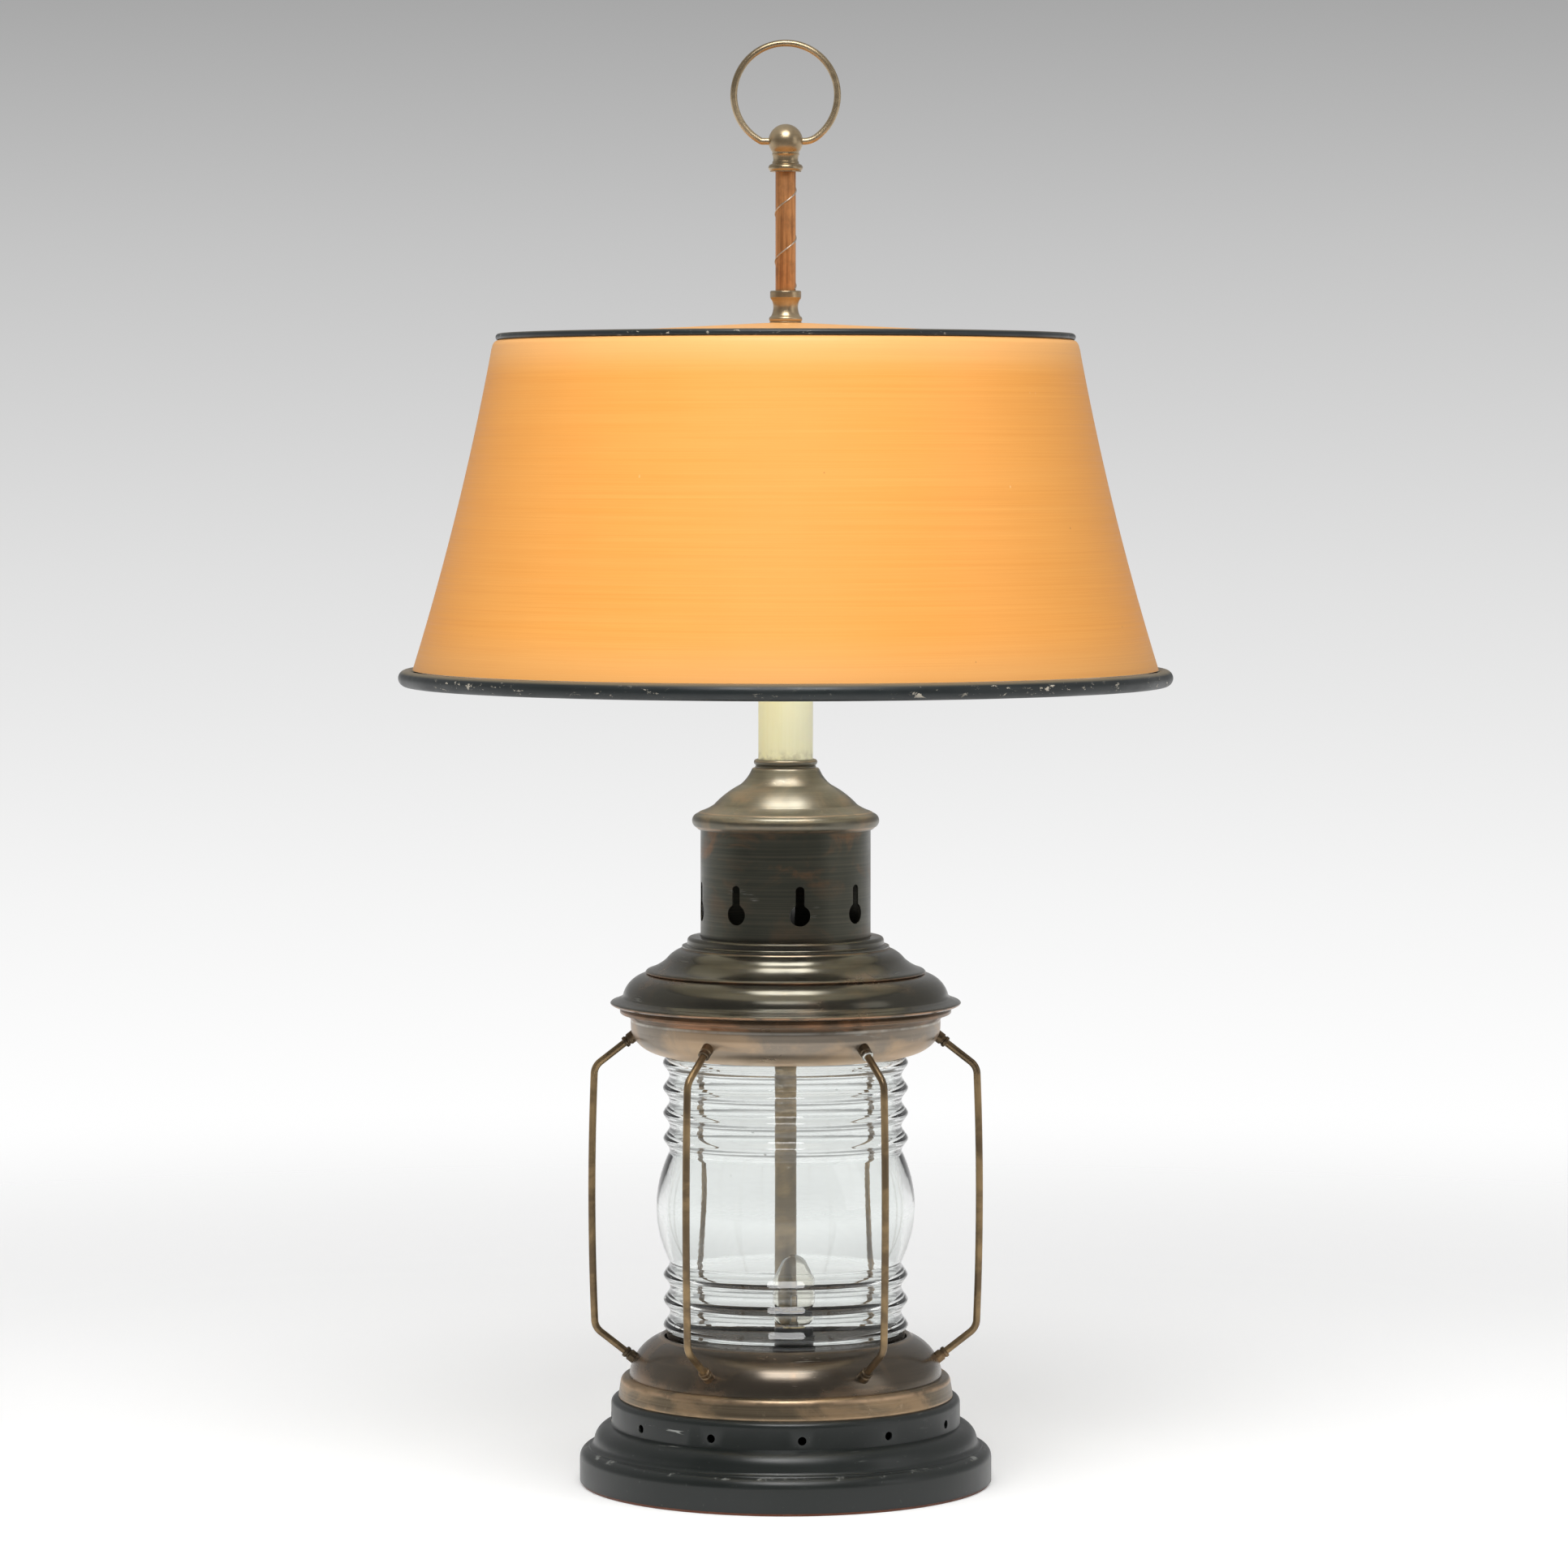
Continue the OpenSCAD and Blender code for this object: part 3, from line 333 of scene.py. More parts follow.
def old_metal(name, dark, warm, bright, *, metal=0.85, rough=0.34, warm_share=0.5, wear=0.35,
              lines=(), line_colour=None, scuffs=0.0, green=0.0, brush=0.3, warm_high=None,
              painted_reflection_band=None, chip=None):
    """Brass or copper under a dark patina. Slow clouds carry it from dark to warm, rubbed lines
    at given heights (height, half width, share) show the bright metal, pale scuffs and green
    specks sit on top, and fine marks run round the piece. A painted reflection band (from
    height, to height, colour) blends into another colour along the height, painting in the
    reflection of a bright floor. A chip is a place with pale paint."""
    f = Finish(name)
    x, y, z = f.axes()
    clouds = f.noise(f.scaled(f.point, (1.0, 1.0, 1.6)), 26.0, 5.0, 0.6, 0.6)
    patches = f.ramp(clouds, 0.62 - 0.28 * warm_share, 0.86 - 0.28 * warm_share)
    if warm_high is not None:
        patches = f.math("MULTIPLY", patches, f.ramp(z, warm_high[0], warm_high[1], 0.25, 1.0))
    grain = f.noise(f.around(8.0, 900.0), 1.0, 3.0, 0.6)
    colour = f.mix(patches, dark, warm)
    if painted_reflection_band is not None:
        # Painted reflection: a lighter colour blended in along the height, where the piece would
        # mirror the bright floor.
        start, end, tone = painted_reflection_band
        colour = f.mix(f.ramp(z, start, end, 0.0, 0.8), colour, tone)
    colour = f.mix(f.ramp(grain, 0.35, 0.75, 0.0, 0.35 * brush), colour, bright)
    speckle = f.noise(f.point, 620.0, 3.0, 0.7)
    worn = f.ramp(f.noise(f.point, 70.0, 6.0, 0.72, 0.4), 0.66 - 0.1 * wear, 0.74 - 0.1 * wear)
    worn = f.math("MULTIPLY", worn, f.ramp(speckle, 0.35, 0.6))
    colour = f.mix(f.math("MULTIPLY", worn, wear), colour, bright)
    for height, half, share in lines:
        patchy = f.ramp(f.noise(f.point, 60.0, 3.0, 0.6), 0.34, 0.56, 0.25, 1.0)
        mark = f.math("MULTIPLY", f.line(z, height, half), patchy)
        colour = f.mix(f.math("MULTIPLY", mark, share), colour, line_colour or bright)
    if chip is not None:
        gap = f.add("ShaderNodeVectorMath", operation="DISTANCE")
        f.feed(gap.inputs[0], f.point)
        gap.inputs[1].default_value = chip
        spot = f.ramp(gap.outputs["Value"], 0.0050, 0.0034)
        spot = f.math("MULTIPLY", spot, f.ramp(speckle, 0.40, 0.48))
        colour = f.mix(spot, colour, (0.72, 0.74, 0.70))
    rough_value = f.math("ADD", rough, f.math("MULTIPLY", f.math("SUBTRACT", clouds, 0.5), 0.35))
    if scuffs:
        drag = f.noise(f.around(34.0, 420.0), 1.0, 3.0, 0.6, 0.5)
        island = f.ramp(f.noise(f.point, 21.0, 2.0, 0.5), 0.6, 0.68)
        scuff = f.math("MULTIPLY", f.ramp(drag, 0.60, 0.70), island)
        colour = f.mix(f.math("MULTIPLY", scuff, scuffs), colour, (0.42, 0.42, 0.38))
        rough_value = f.math("ADD", rough_value, f.math("MULTIPLY", scuff, 0.3))
    if green:
        spots = f.ramp(f.noise(f.point, 150.0, 4.0, 0.7, 0.8), 0.70, 0.76)
        spots = f.math("MULTIPLY", spots, f.ramp(f.noise(f.point, 14.0, 2.0, 0.5), 0.52, 0.62))
        colour = f.mix(f.math("MULTIPLY", spots, green), colour, (0.10, 0.24, 0.20))
        rough_value = f.math("ADD", rough_value, f.math("MULTIPLY", spots, 0.3))
    relief = f.bump(grain, 0.00002, 0.35)
    relief = f.bump(f.noise(f.point, 38.0, 3.0, 0.5), 0.0006, 0.12, relief)
    return f.surface(colour=colour, metal=metal, rough=rough_value, normal=relief)


def enamel(shade):
    """Orange enamel with brushed streaks round the shade, dark and pale specks, and a cream
    inside. The faces that look at the stem or down are the inside."""
    f = Finish("orange_enamel")
    x, y, z = f.axes()
    nx, ny, nz = f.normal_axes()
    outwards = f.math("ADD", f.math("MULTIPLY", x, nx), f.math("MULTIPLY", y, ny))
    inside = f.math("MAXIMUM", f.math("LESS_THAN", outwards, -0.01),
                    f.math("LESS_THAN", nz, -0.6))
    fine = f.noise(f.around(6.0, 2600.0), 1.0, 4.0, 0.65)
    broad = f.noise(f.around(5.0, 480.0), 1.0, 4.0, 0.6)
    clouds = f.noise(f.point, 7.0, 3.0, 0.5)
    colour = f.mix(f.ramp(fine, 0.3, 0.72, 0.45, 1.0), shade.deep, shade.colour)
    colour = f.mix(f.ramp(broad, 0.28, 0.75, 0.0, 0.28), colour, shade.pale)
    colour = f.mix(f.ramp(clouds, 0.35, 0.7, 0.0, 0.20), colour, shade.deep)
    # Painted highlight: the enamel turns paler towards the shoulder, where the overhead light falls.
    colour = f.mix(f.ramp(z, 0.611, 0.630, 0.0, 0.35), colour, (0.98, 0.60, 0.27))
    # Painted shade: the enamel turns darker and browner towards the bottom bead.
    colour = f.mix(f.ramp(z, 0.48, 0.452, 0.0, 0.22), colour, (0.62, 0.44, 0.22))
    dark_specks = f.ramp(f.cells(f.scaled(f.point, (1, 1, 0.8)), 92.0), 0.055, 0.03)
    dark_specks = f.math("MULTIPLY", dark_specks,
                         f.ramp(f.noise(f.point, 33.0, 1.0), 0.60, 0.66, 0.0, 0.55))
    colour = f.mix(dark_specks, colour, (0.22, 0.08, 0.02))
    pale_specks = f.ramp(f.cells(f.scaled(f.point, (1, 1, 0.5)), 60.0), 0.04, 0.02)
    pale_specks = f.math("MULTIPLY", pale_specks,
                         f.ramp(f.noise(f.point, 27.0, 1.0), 0.60, 0.66, 0.0, 0.7))
    colour = f.mix(pale_specks, colour, (0.95, 0.80, 0.50))
    colour = f.mix(inside, colour, (0.84, 0.80, 0.68))
    relief = f.bump(fine, 0.00003, 0.25)
    rough = f.ramp(broad, 0.2, 0.8, 0.38, 0.52)
    return f.surface(colour=colour, rough=rough, normal=relief, shine=0.3)


def dark_bead():
    """Green-black paint, dusty on top, rubbed through to pale specks along the outer edge."""
    f = Finish("worn_dark_bead")
    x, y, z = f.axes()
    nx, ny, nz = f.normal_axes()
    base = f.mix(f.noise(f.point, 40.0, 3.0), (0.007, 0.010, 0.011), (0.017, 0.022, 0.022))
    dust = f.math("MULTIPLY", f.ramp(nz, 0.55, 0.95), f.ramp(z, 0.46, 0.44, 0.25, 1.0))
    colour = f.mix(f.math("MULTIPLY", dust, 0.6), base, (0.50, 0.40, 0.24))
    chips = f.ramp(f.noise(f.scaled(f.point, (1, 1, 2.2)), 170.0, 5.0, 0.7, 0.6), 0.60, 0.64)
    chips = f.math("MULTIPLY", chips, f.ramp(f.noise(f.point, 17.0, 2.0), 0.46, 0.58))
    chips = f.math("MULTIPLY", chips, f.ramp(f.math("ABSOLUTE", nz), 0.8, 0.5))
    colour = f.mix(f.math("MULTIPLY", chips, 0.85), colour, (0.52, 0.47, 0.38))
    rough = f.ramp(f.noise(f.point, 30.0, 3.0), 0.3, 0.7, 0.34, 0.5)
    relief = f.bump(chips, 0.0001, 0.5)
    return f.surface(colour=colour, rough=rough, normal=relief, shine=0.5)


def cream_sleeve():
    """Ivory moulded sleeve, yellower on its left, with faint lengthways marks."""
    f = Finish("cream_sleeve")
    x, y, z = f.axes()
    marks = f.noise(f.scaled(f.point, (420.0, 420.0, 14.0)), 1.0, 3.0, 0.6)
    warmth = f.ramp(x, 0.012, -0.014)
    colour = f.mix(warmth, (0.80, 0.78, 0.56), (0.82, 0.75, 0.44))
    colour = f.mix(f.ramp(marks, 0.3, 0.75, 0.0, 0.3), colour, (0.88, 0.85, 0.66))
    grime = f.math("MULTIPLY", f.ramp(z, 0.410, 0.4015), f.ramp(f.noise(f.point, 240.0), 0.4, 0.7))
    colour = f.mix(f.math("MULTIPLY", grime, 0.5), colour, (0.26, 0.22, 0.13))
    relief = f.bump(marks, 0.00004, 0.3)
    return f.surface(colour=colour, rough=0.42, normal=relief, under=0.25,
                     under_reach=(0.9, 0.7, 0.4), under_scale=0.003)


def clear_glass(name, tint, seeds, wave):
    """Old pressed glass: clear, slow waves in its faces, and small seed bubbles."""
    f = Finish(name)
    slow = f.noise(f.scaled(f.point, (1, 1, 0.35)), 24.0, 2.0, 0.45)
    fine = f.noise(f.scaled(f.point, (1, 1, 3.0)), 160.0, 2.0, 0.5)
    relief = f.bump(slow, 0.002, wave)
    relief = f.bump(fine, 0.0001, 0.1, relief)
    film = f.ramp(f.noise(f.scaled(f.point, (1, 1, 2.0)), 46.0, 5.0, 0.7), 0.5, 0.8, 0.0, 0.10)
    dots = f.math("MULTIPLY", f.ramp(f.cells(f.point, 75.0), 0.085, 0.05),
                  f.ramp(f.noise(f.point, 30.0, 1.0), 0.60, 0.66, 0.0, seeds))
    rough = f.math("ADD", film, f.math("MULTIPLY", dots, 0.5))
    colour = f.mix(dots, tint, (0.62, 0.66, 0.63))
    return f.surface(colour=colour, rough=rough, normal=relief, clear=1.0, ior=1.47)


def black_paint(paint):
    """Satin green-black paint with a soft mottle and a few pale scrapes."""
    f = Finish("plinth_paint")
    x, y, z = f.axes()
    mottle = f.noise(f.point, 18.0, 4.0, 0.55)
    colour = f.mix(mottle, paint.colour, (0.016, 0.019, 0.0175))
    dust = f.ramp(f.noise(f.point, 330.0, 4.0, 0.75), 0.64, 0.74, 0.0, 0.2)
    colour = f.mix(dust, colour, (0.22, 0.23, 0.21))
    drag = f.noise(f.around(40.0, 380.0), 1.0, 3.0, 0.6, 0.5)
    island = f.ramp(f.noise(f.point, 20.0, 2.0, 0.5), 0.61, 0.68)
    scrape = f.math("MULTIPLY", f.ramp(drag, 0.62, 0.70), island)
    patchy = f.ramp(f.noise(f.point, 90.0, 4.0, 0.7), 0.56, 0.66)
    rim = f.math("MULTIPLY", f.line(z, 0.0195, 0.0014), patchy)
    scrape = f.math("MAXIMUM", f.math("MULTIPLY", scrape, 0.6), f.math("MULTIPLY", rim, 0.4))
    colour = f.mix(scrape, colour, (0.44, 0.45, 0.42))
    rough = f.math("ADD", f.ramp(mottle, 0.3, 0.7, 0.28, 0.40), f.math("MULTIPLY", scrape, 0.3))
    relief = f.bump(f.noise(f.point, 45.0, 3.0), 0.0005, 0.12)
    return f.surface(colour=colour, rough=rough, normal=relief, shine=0.5)


def felt():
    """Red-brown pressed felt."""
    f = Finish("red_felt")
    hair = f.noise(f.point, 1400.0, 4.0, 0.7, 1.5)
    clump = f.noise(f.point, 120.0, 3.0, 0.6)
    colour = f.mix(hair, (0.10, 0.030, 0.016), (0.26, 0.095, 0.05))
    colour = f.mix(f.ramp(clump, 0.4, 0.7, 0.0, 0.3), colour, (0.30, 0.15, 0.10))
    relief = f.bump(hair, 0.0004, 0.8)
    return f.surface(colour=colour, rough=0.95, normal=relief, sheen=0.4, sheen_rough=0.5)


def plain(name, low, high, *, metal=0.0, rough=0.4, scale=60.0, bump=0.00005, shine=0.5,
          stretch=(1, 1, 1)):
    """Two close tones mixed by a noise of the given scale, with a slight relief."""
    f = Finish(name)
    tone = f.noise(f.scaled(f.point, stretch), scale, 4.0, 0.6)
    colour = f.mix(f.ramp(tone, 0.3, 0.7), low, high)
    relief = f.bump(tone, bump, 0.4)
    value = f.ramp(tone, 0.2, 0.8, max(rough - 0.07, 0.02), rough + 0.07)
    return f.surface(colour=colour, metal=metal, rough=value, normal=relief, shine=shine)


def spiral_copper(finial):
    """Copper tube with its long seam marks and darker streaks along it."""
    f = Finish("spiral_copper")
    marks = f.noise(f.scaled(f.point, (500.0, 500.0, 22.0)), 1.0, 4.0, 0.6)
    clouds = f.noise(f.point, 75.0, 4.0, 0.6)
    colour = f.mix(f.ramp(marks, 0.3, 0.72), (0.36, 0.15, 0.055), finial.copper)
    colour = f.mix(f.ramp(clouds, 0.5, 0.75, 0.0, 0.55), colour, (0.20, 0.10, 0.05))
    relief = f.bump(marks, 0.00003, 0.4)
    return f.surface(colour=colour, metal=0.8, rough=f.ramp(clouds, 0.3, 0.7, 0.36, 0.5),
                     normal=relief)


# Sizes and colours that a user would change. The defaults are the photographed lamp's.


class ShadeSettings(bpy.types.PropertyGroup):
    colour: FloatVectorProperty(
        name="Enamel", description="Main colour of the shade's outside", subtype="COLOR",
        default=(0.850, 0.372, 0.076), min=0, max=1)
    deep: FloatVectorProperty(
        name="Deep streaks", description="Darker colour in the brushed streaks", subtype="COLOR",
        default=(0.745, 0.285, 0.046), min=0, max=1)
    pale: FloatVectorProperty(
        name="Pale streaks", description="Lighter colour in the broad streaks", subtype="COLOR",
        default=(0.90, 0.450, 0.125), min=0, max=1)
    top: FloatProperty(
        name="Shoulder radius", description="Outer radius of the shade at its shoulder",
        default=0.162, min=0.15, max=0.17, unit="LENGTH")
    bottom: FloatProperty(
        name="Bottom radius", description="Outer radius of the shade above its bottom bead",
        default=0.2058, min=0.2, max=0.215, unit="LENGTH")
    late: FloatProperty(
        name="Late flare", description="Share of the flare that comes late", default=0.25,
        min=0, max=0.4, subtype="FACTOR")
    wall: FloatProperty(
        name="Sheet", description="Thickness of the shade's sheet", default=0.0008, min=0.0006,
        max=0.0014, unit="LENGTH")


class LanternSettings(bpy.types.PropertyGroup):
    crest: FloatProperty(
        name="Rib crests", description="Radius of the globe at the crests of its ribs",
        default=0.068, min=0.066, max=0.0685, unit="LENGTH")
    valley: FloatProperty(
        name="Rib valleys", description="Radius of the globe between its ribs", default=0.0644,
        min=0.0635, max=0.066, unit="LENGTH")
    belly: FloatProperty(
        name="Belly", description="Largest radius of the globe", default=0.0719, min=0.07,
        max=0.074, unit="LENGTH")
    tint: FloatVectorProperty(
        name="Glass tint", description="Colour of the globe's glass", subtype="COLOR",
        default=(0.955, 0.975, 0.965), min=0, max=1)


class FootSettings(bpy.types.PropertyGroup):
    colour: FloatVectorProperty(
        name="Paint", description="Colour of the plinth's paint", subtype="COLOR",
        default=(0.0085, 0.0105, 0.0098), min=0, max=1)
    felt_radius: FloatProperty(
        name="Felt radius", description="Radius of the felt under the foot", default=0.1135,
        min=0.1, max=0.1145, unit="LENGTH")


class FinialSettings(bpy.types.PropertyGroup):
    copper: FloatVectorProperty(
        name="Copper", description="Colour of the spiral tube", subtype="COLOR",
        default=(0.72, 0.34, 0.13), min=0, max=1)
    ring: FloatProperty(
        name="Ring radius", description="Radius to the middle of the ring's wire",
        default=0.0285, min=0.027, max=0.034, unit="LENGTH")
    wire: FloatProperty(
        name="Ring wire", description="Diameter of the ring's wire", default=0.0038,
        min=0.003, max=0.004, unit="LENGTH")


# Operators, one for each group of pieces


class LAMP_OT_stage(bpy.types.Operator):
    """Camera, lamps, background and floor"""

    bl_idname = "lamp.stage"
    bl_label = "Stage"

    def execute(self, context):
        scene = context.scene
        scene.view_settings.view_transform = "Standard"
        data = bpy.data.cameras.new("camera")
        data.sensor_width = 36.0
        data.lens = 137.57
        data.clip_end = 50.0
        camera = bpy.data.objects.new("camera", data)
        camera.location = (-0.0009, -3.310, 0.5749)
        camera.rotation_euler = (math.radians(90 - 3.225), 0, 0)
        scene.collection.objects.link(camera)
        scene.camera = camera
        self.lamp(scene, "overhead", (0.0, -0.92, 1.75), (0, 0, 0.2), 0.85, 0.75, 17.5)
        self.lamp(scene, "front_left", (-1.1, -2.5, 1.0), (0, 0, 0.45), 1.3, 1.3, 20.0,
                  mirrored=False)
        self.lamp(scene, "right", (2.1, -0.9, 1.0), (0, 0, 0.4), 1.0, 1.6, 5.0)
        self.lamp(scene, "under_shade", (0, -0.035, 0.61), (0, -0.05, 0), 0.16, 0.12, 0.7)
        self.world(scene)
        self.floor(scene)
        return {"FINISHED"}

    def lamp(self, scene, name, place_at, aim, width, height, power, mirrored=True):
        data = bpy.data.lights.new(name, "AREA")
        data.shape = "RECTANGLE"
        data.size, data.size_y, data.energy = width, height, power
        lamp = bpy.data.objects.new(name, data)
        lamp.location = place_at
        lamp.rotation_euler = (Vector(aim) - Vector(place_at)).to_track_quat("-Z", "Y").to_euler()
        lamp.visible_camera = lamp.visible_transmission = False
        lamp.visible_glossy = mirrored
        scene.collection.objects.link(lamp)

    def world(self, scene):
        """White low down and grey higher up for the camera and in glass; metal also sees a
        darker room in front. Everything else gets an even light."""
        world = bpy.data.worlds.new("studio")
        scene.world = world
        world.use_nodes = True
        tree = world.node_tree
        tree.nodes.clear()
        add = tree.nodes.new
        link = tree.links.new
        out = add("ShaderNodeOutputWorld")
        toward = add("ShaderNodeSeparateXYZ")
        link(add("ShaderNodeTexCoord").outputs["Generated"], toward.inputs[0])
        height = add("ShaderNodeMapRange")
        height.inputs[1].default_value = -0.11
        height.inputs[2].default_value = 0.077
        link(toward.outputs[2], height.inputs[0])
        tones = add("ShaderNodeValToRGB")
        stops = ((0.0, 1.0), (0.19, 0.913), (0.48, 0.745), (0.77, 0.552), (1.0, 0.378))
        while len(tones.color_ramp.elements) < len(stops):
            tones.color_ramp.elements.new(0.5)
        for element, (position, tone) in zip(tones.color_ramp.elements, stops):
            element.position = position
            element.color = (tone, tone, tone, 1)
        link(height.outputs[0], tones.inputs[0])
        front = add("ShaderNodeMapRange")
        front.interpolation_type = "SMOOTHSTEP"
        for socket, number in zip(front.inputs[1:], (0.25, -0.55, 1.0, 0.22)):
            socket.default_value = number
        link(toward.outputs[1], front.inputs[0])
        room = add("ShaderNodeMix")
        room.data_type = "RGBA"
        room.blend_type = "MULTIPLY"
        room.inputs[0].default_value = 1.0
        link(tones.outputs[0], room.inputs[6])
        link(front.outputs[0], room.inputs[7])
        rays = add("ShaderNodeLightPath")
        seen = add("ShaderNodeMath")
        seen.operation = "MAXIMUM"
        link(rays.outputs["Is Camera Ray"], seen.inputs[0])
        link(rays.outputs["Is Transmission Ray"], seen.inputs[1])
        even = add("ShaderNodeMix")
        even.data_type = "RGBA"
        even.inputs[6].default_value = (0.52, 0.52, 0.52, 1)
        link(rays.outputs["Is Glossy Ray"], even.inputs[0])
        link(room.outputs[2], even.inputs[7])
        shown = add("ShaderNodeMix")
        shown.data_type = "RGBA"
        link(seen.outputs[0], shown.inputs[0])
        link(even.outputs[2], shown.inputs[6])
        link(tones.outputs[0], shown.inputs[7])
        light = add("ShaderNodeBackground")
        link(shown.outputs[2], light.inputs["Color"])
        link(light.outputs[0], out.inputs["Surface"])

    def floor(self, scene):
        """Disc whose whiteness is topped up for the camera, and which fades out at its rim."""
        t = np.linspace(0, 2 * np.pi, 96, endpoint=False)
        rim = np.stack([2600 * np.cos(t), 2600 * np.sin(t), 0 * t], 1)
        points = np.vstack([rim, [[0, 0, 0]]])
        faces = np.stack([np.arange(96), (np.arange(96) + 1) % 96, np.full(96, 96)], 1)
        floor = put_mesh("floor", points, faces.tolist())
        f = Finish("floor_white")
        x, y, z = f.axes()
        radius = f.math("SQRT", f.math("ADD", f.math("MULTIPLY", x, x), f.math("MULTIPLY", y, y)))
        rays = f.add("ShaderNodeLightPath")
        seen = f.math("MAXIMUM", rays.outputs["Is Camera Ray"], rays.outputs["Is Glossy Ray"])
        seen = f.math("MAXIMUM", seen, rays.outputs["Is Transmission Ray"])
        paper = f.add("ShaderNodeBsdfDiffuse")
        paper.inputs["Color"].default_value = (0.80, 0.80, 0.80, 1)
        lift = f.add("ShaderNodeEmission")
        f.feed(lift.inputs["Strength"], f.math("MULTIPLY", seen, 0.26))
        both = f.add("ShaderNodeAddShader")
        f.tree.links.new(paper.outputs[0], both.inputs[0])
        f.tree.links.new(lift.outputs[0], both.inputs[1])
        gone = f.add("ShaderNodeBsdfTransparent")
        fade = f.add("ShaderNodeMixShader")
        f.feed(fade.inputs[0], f.ramp(radius, 0.7, 1.9))
        f.tree.links.new(both.outputs[0], fade.inputs[1])
        f.tree.links.new(gone.outputs[0], fade.inputs[2])
        f.tree.links.new(fade.outputs[0], f.out.inputs["Surface"])
        floor.data.materials.append(f.material)


class LAMP_OT_foot(bpy.types.Operator):
    """Felt, plinth, inlet bushing, board, weight and brass band"""

    bl_idname = "lamp.foot"
    bl_label = "Foot"

    def execute(self, context):
        foot = context.scene.lamp_foot
        r = foot.felt_radius * 1000
        pad = outline((0, 0, 0), (r, 0, 0.25), (r, 1.5, 0.3), (0, 1.5, 0))
        place(turned("felt_pad", pad), "lamp", felt(), "felt", "foot_felt")
        place(smoothed("foot_plinth", "plinth"), "lamp", black_paint(foot), "plinth_black",
              "foot_plinth")
        rubber = plain("black_plastic", (0.012, 0.012, 0.012), (0.03, 0.03, 0.03), rough=0.45,
                       scale=220.0)
        place(smoothed("cord_bushing", "inlet_bushing"), "lamp", rubber, "black_plastic",
              "cord_bushing")
        board = plain("fibreboard", (0.20, 0.12, 0.06), (0.34, 0.22, 0.12), rough=0.85,
                      scale=420.0, bump=0.0002)
        place(smoothed("bottom_board", "board"), "lamp", board, "board", "bottom_board")
        iron = plain("cast_iron", (0.03, 0.03, 0.03), (0.08, 0.075, 0.07), metal=0.6, rough=0.65,
                     scale=300.0, bump=0.0005)
        place(smoothed("base_weight", "weight"), "lamp", iron, "iron", "base_weight")
        band = outline(
            (92.95, 48.0, 0.2), (92.7, 50.2, 0.6), (91.9, 55.4, 0.3),
            curve(88.4, 55.9, 3.4, 3.9, 8, 88, 10), (86.9, 59.8, 0.1), (80, 59.8), (80, 58.6),
            (88, 58.6, 1.5), (90.4, 55.8), (91.4, 50.2), (91.5, 49.2), (80, 49.2), (80, 48))
        brass = old_metal(
            "band_brass", (0.150, 0.118, 0.078), (0.38, 0.26, 0.15), (0.58, 0.45, 0.30),
            rough=0.36, warm_share=0.75, wear=0.5, green=0.5, brush=0.5,
            lines=((0.0575, 0.0016, 0.75), (0.0488, 0.0007, 0.55)),
            line_colour=(0.68, 0.47, 0.30))
        place(turned("brass_band", band), "lamp", brass, "band_brass", "base_band")
        return {"FINISHED"}


class LAMP_OT_galleries(bpy.types.Operator):
    """Lower gallery, upper gallery and the gaskets"""

    bl_idname = "lamp.galleries"
    bl_label = "Galleries"

    def execute(self, context):
        lower = outline(
            curve(62, 58, 25, 24.5, 4.2, 70, 28), (69.4, 81.9, 0.5), (68.1, 82.1, 0.6),
            (67.2, 81.2, 0.5), (67.2, 74.8, 0.2), (5.2, 74.8, 0.1), (5.2, 73.6, 0.1),
            (68.4, 73.6, 0.4), (68.4, 79.9, 0.2), curve(62, 58, 23.7, 23.2, 72, 4.5, 16))
        bronze = old_metal(
            "gallery_bronze", (0.125, 0.105, 0.082), (0.25, 0.175, 0.115), (0.50, 0.38, 0.27),
            rough=0.25, warm_share=0.55, wear=0.25, green=0.7, scuffs=0.5, brush=0.25,
            lines=((0.0815, 0.0009, 0.5),))
        place(turned("dome_gallery", lower), "lamp", bronze, "gallery_bronze", "lower_gallery")
        upper = outline(
            curve(65, 254, 20.8, 15.4, -77, -2, 28), (85.9, 256.5, 1.5), (85.8, 258.9, 0.2),
            (80, 258.9, 0.1), (80, 257.7, 0.1), (84.4, 257.7, 0.2),
            curve(65, 254, 19.6, 14.2, 0, -76, 16), (68.4, 240.4, 0.1), (68.4, 248.2, 0.2),
            (5.2, 248.2, 0.1), (5.2, 247.0, 0.1), (67.2, 247.0, 0.2), (67.2, 240.0, 0.4),
            (67.8, 238.8, 0.5), (68.9, 238.6, 0.4))
        copper = old_metal(
            "bowl_copper", (0.235, 0.200, 0.160), (0.42, 0.305, 0.20), (0.62, 0.50, 0.38),
            rough=0.33, warm_share=0.7, wear=0.35, green=0.25, scuffs=0.8, brush=0.35,
            lines=((0.2578, 0.0011, 0.8),), line_colour=(0.66, 0.62, 0.55),
            # painted reflection of the white floor: lighter and warmer towards the bowl's underside
            painted_reflection_band=(0.2470, 0.2385, (0.80, 0.56, 0.34)))
        place(turned("bowl_gallery", upper), "lamp", copper, "bowl_copper", "upper_gallery")
        rubber = plain("gasket_rubber", (0.03, 0.03, 0.03), (0.07, 0.07, 0.065), rough=0.7)
        place(smoothed("lower_gasket", "gasket_low"), "lamp", rubber, "gasket", "lower_gasket")
        place(smoothed("upper_gasket", "gasket_high"), "lamp", rubber, "gasket", "upper_gasket")
        return {"FINISHED"}


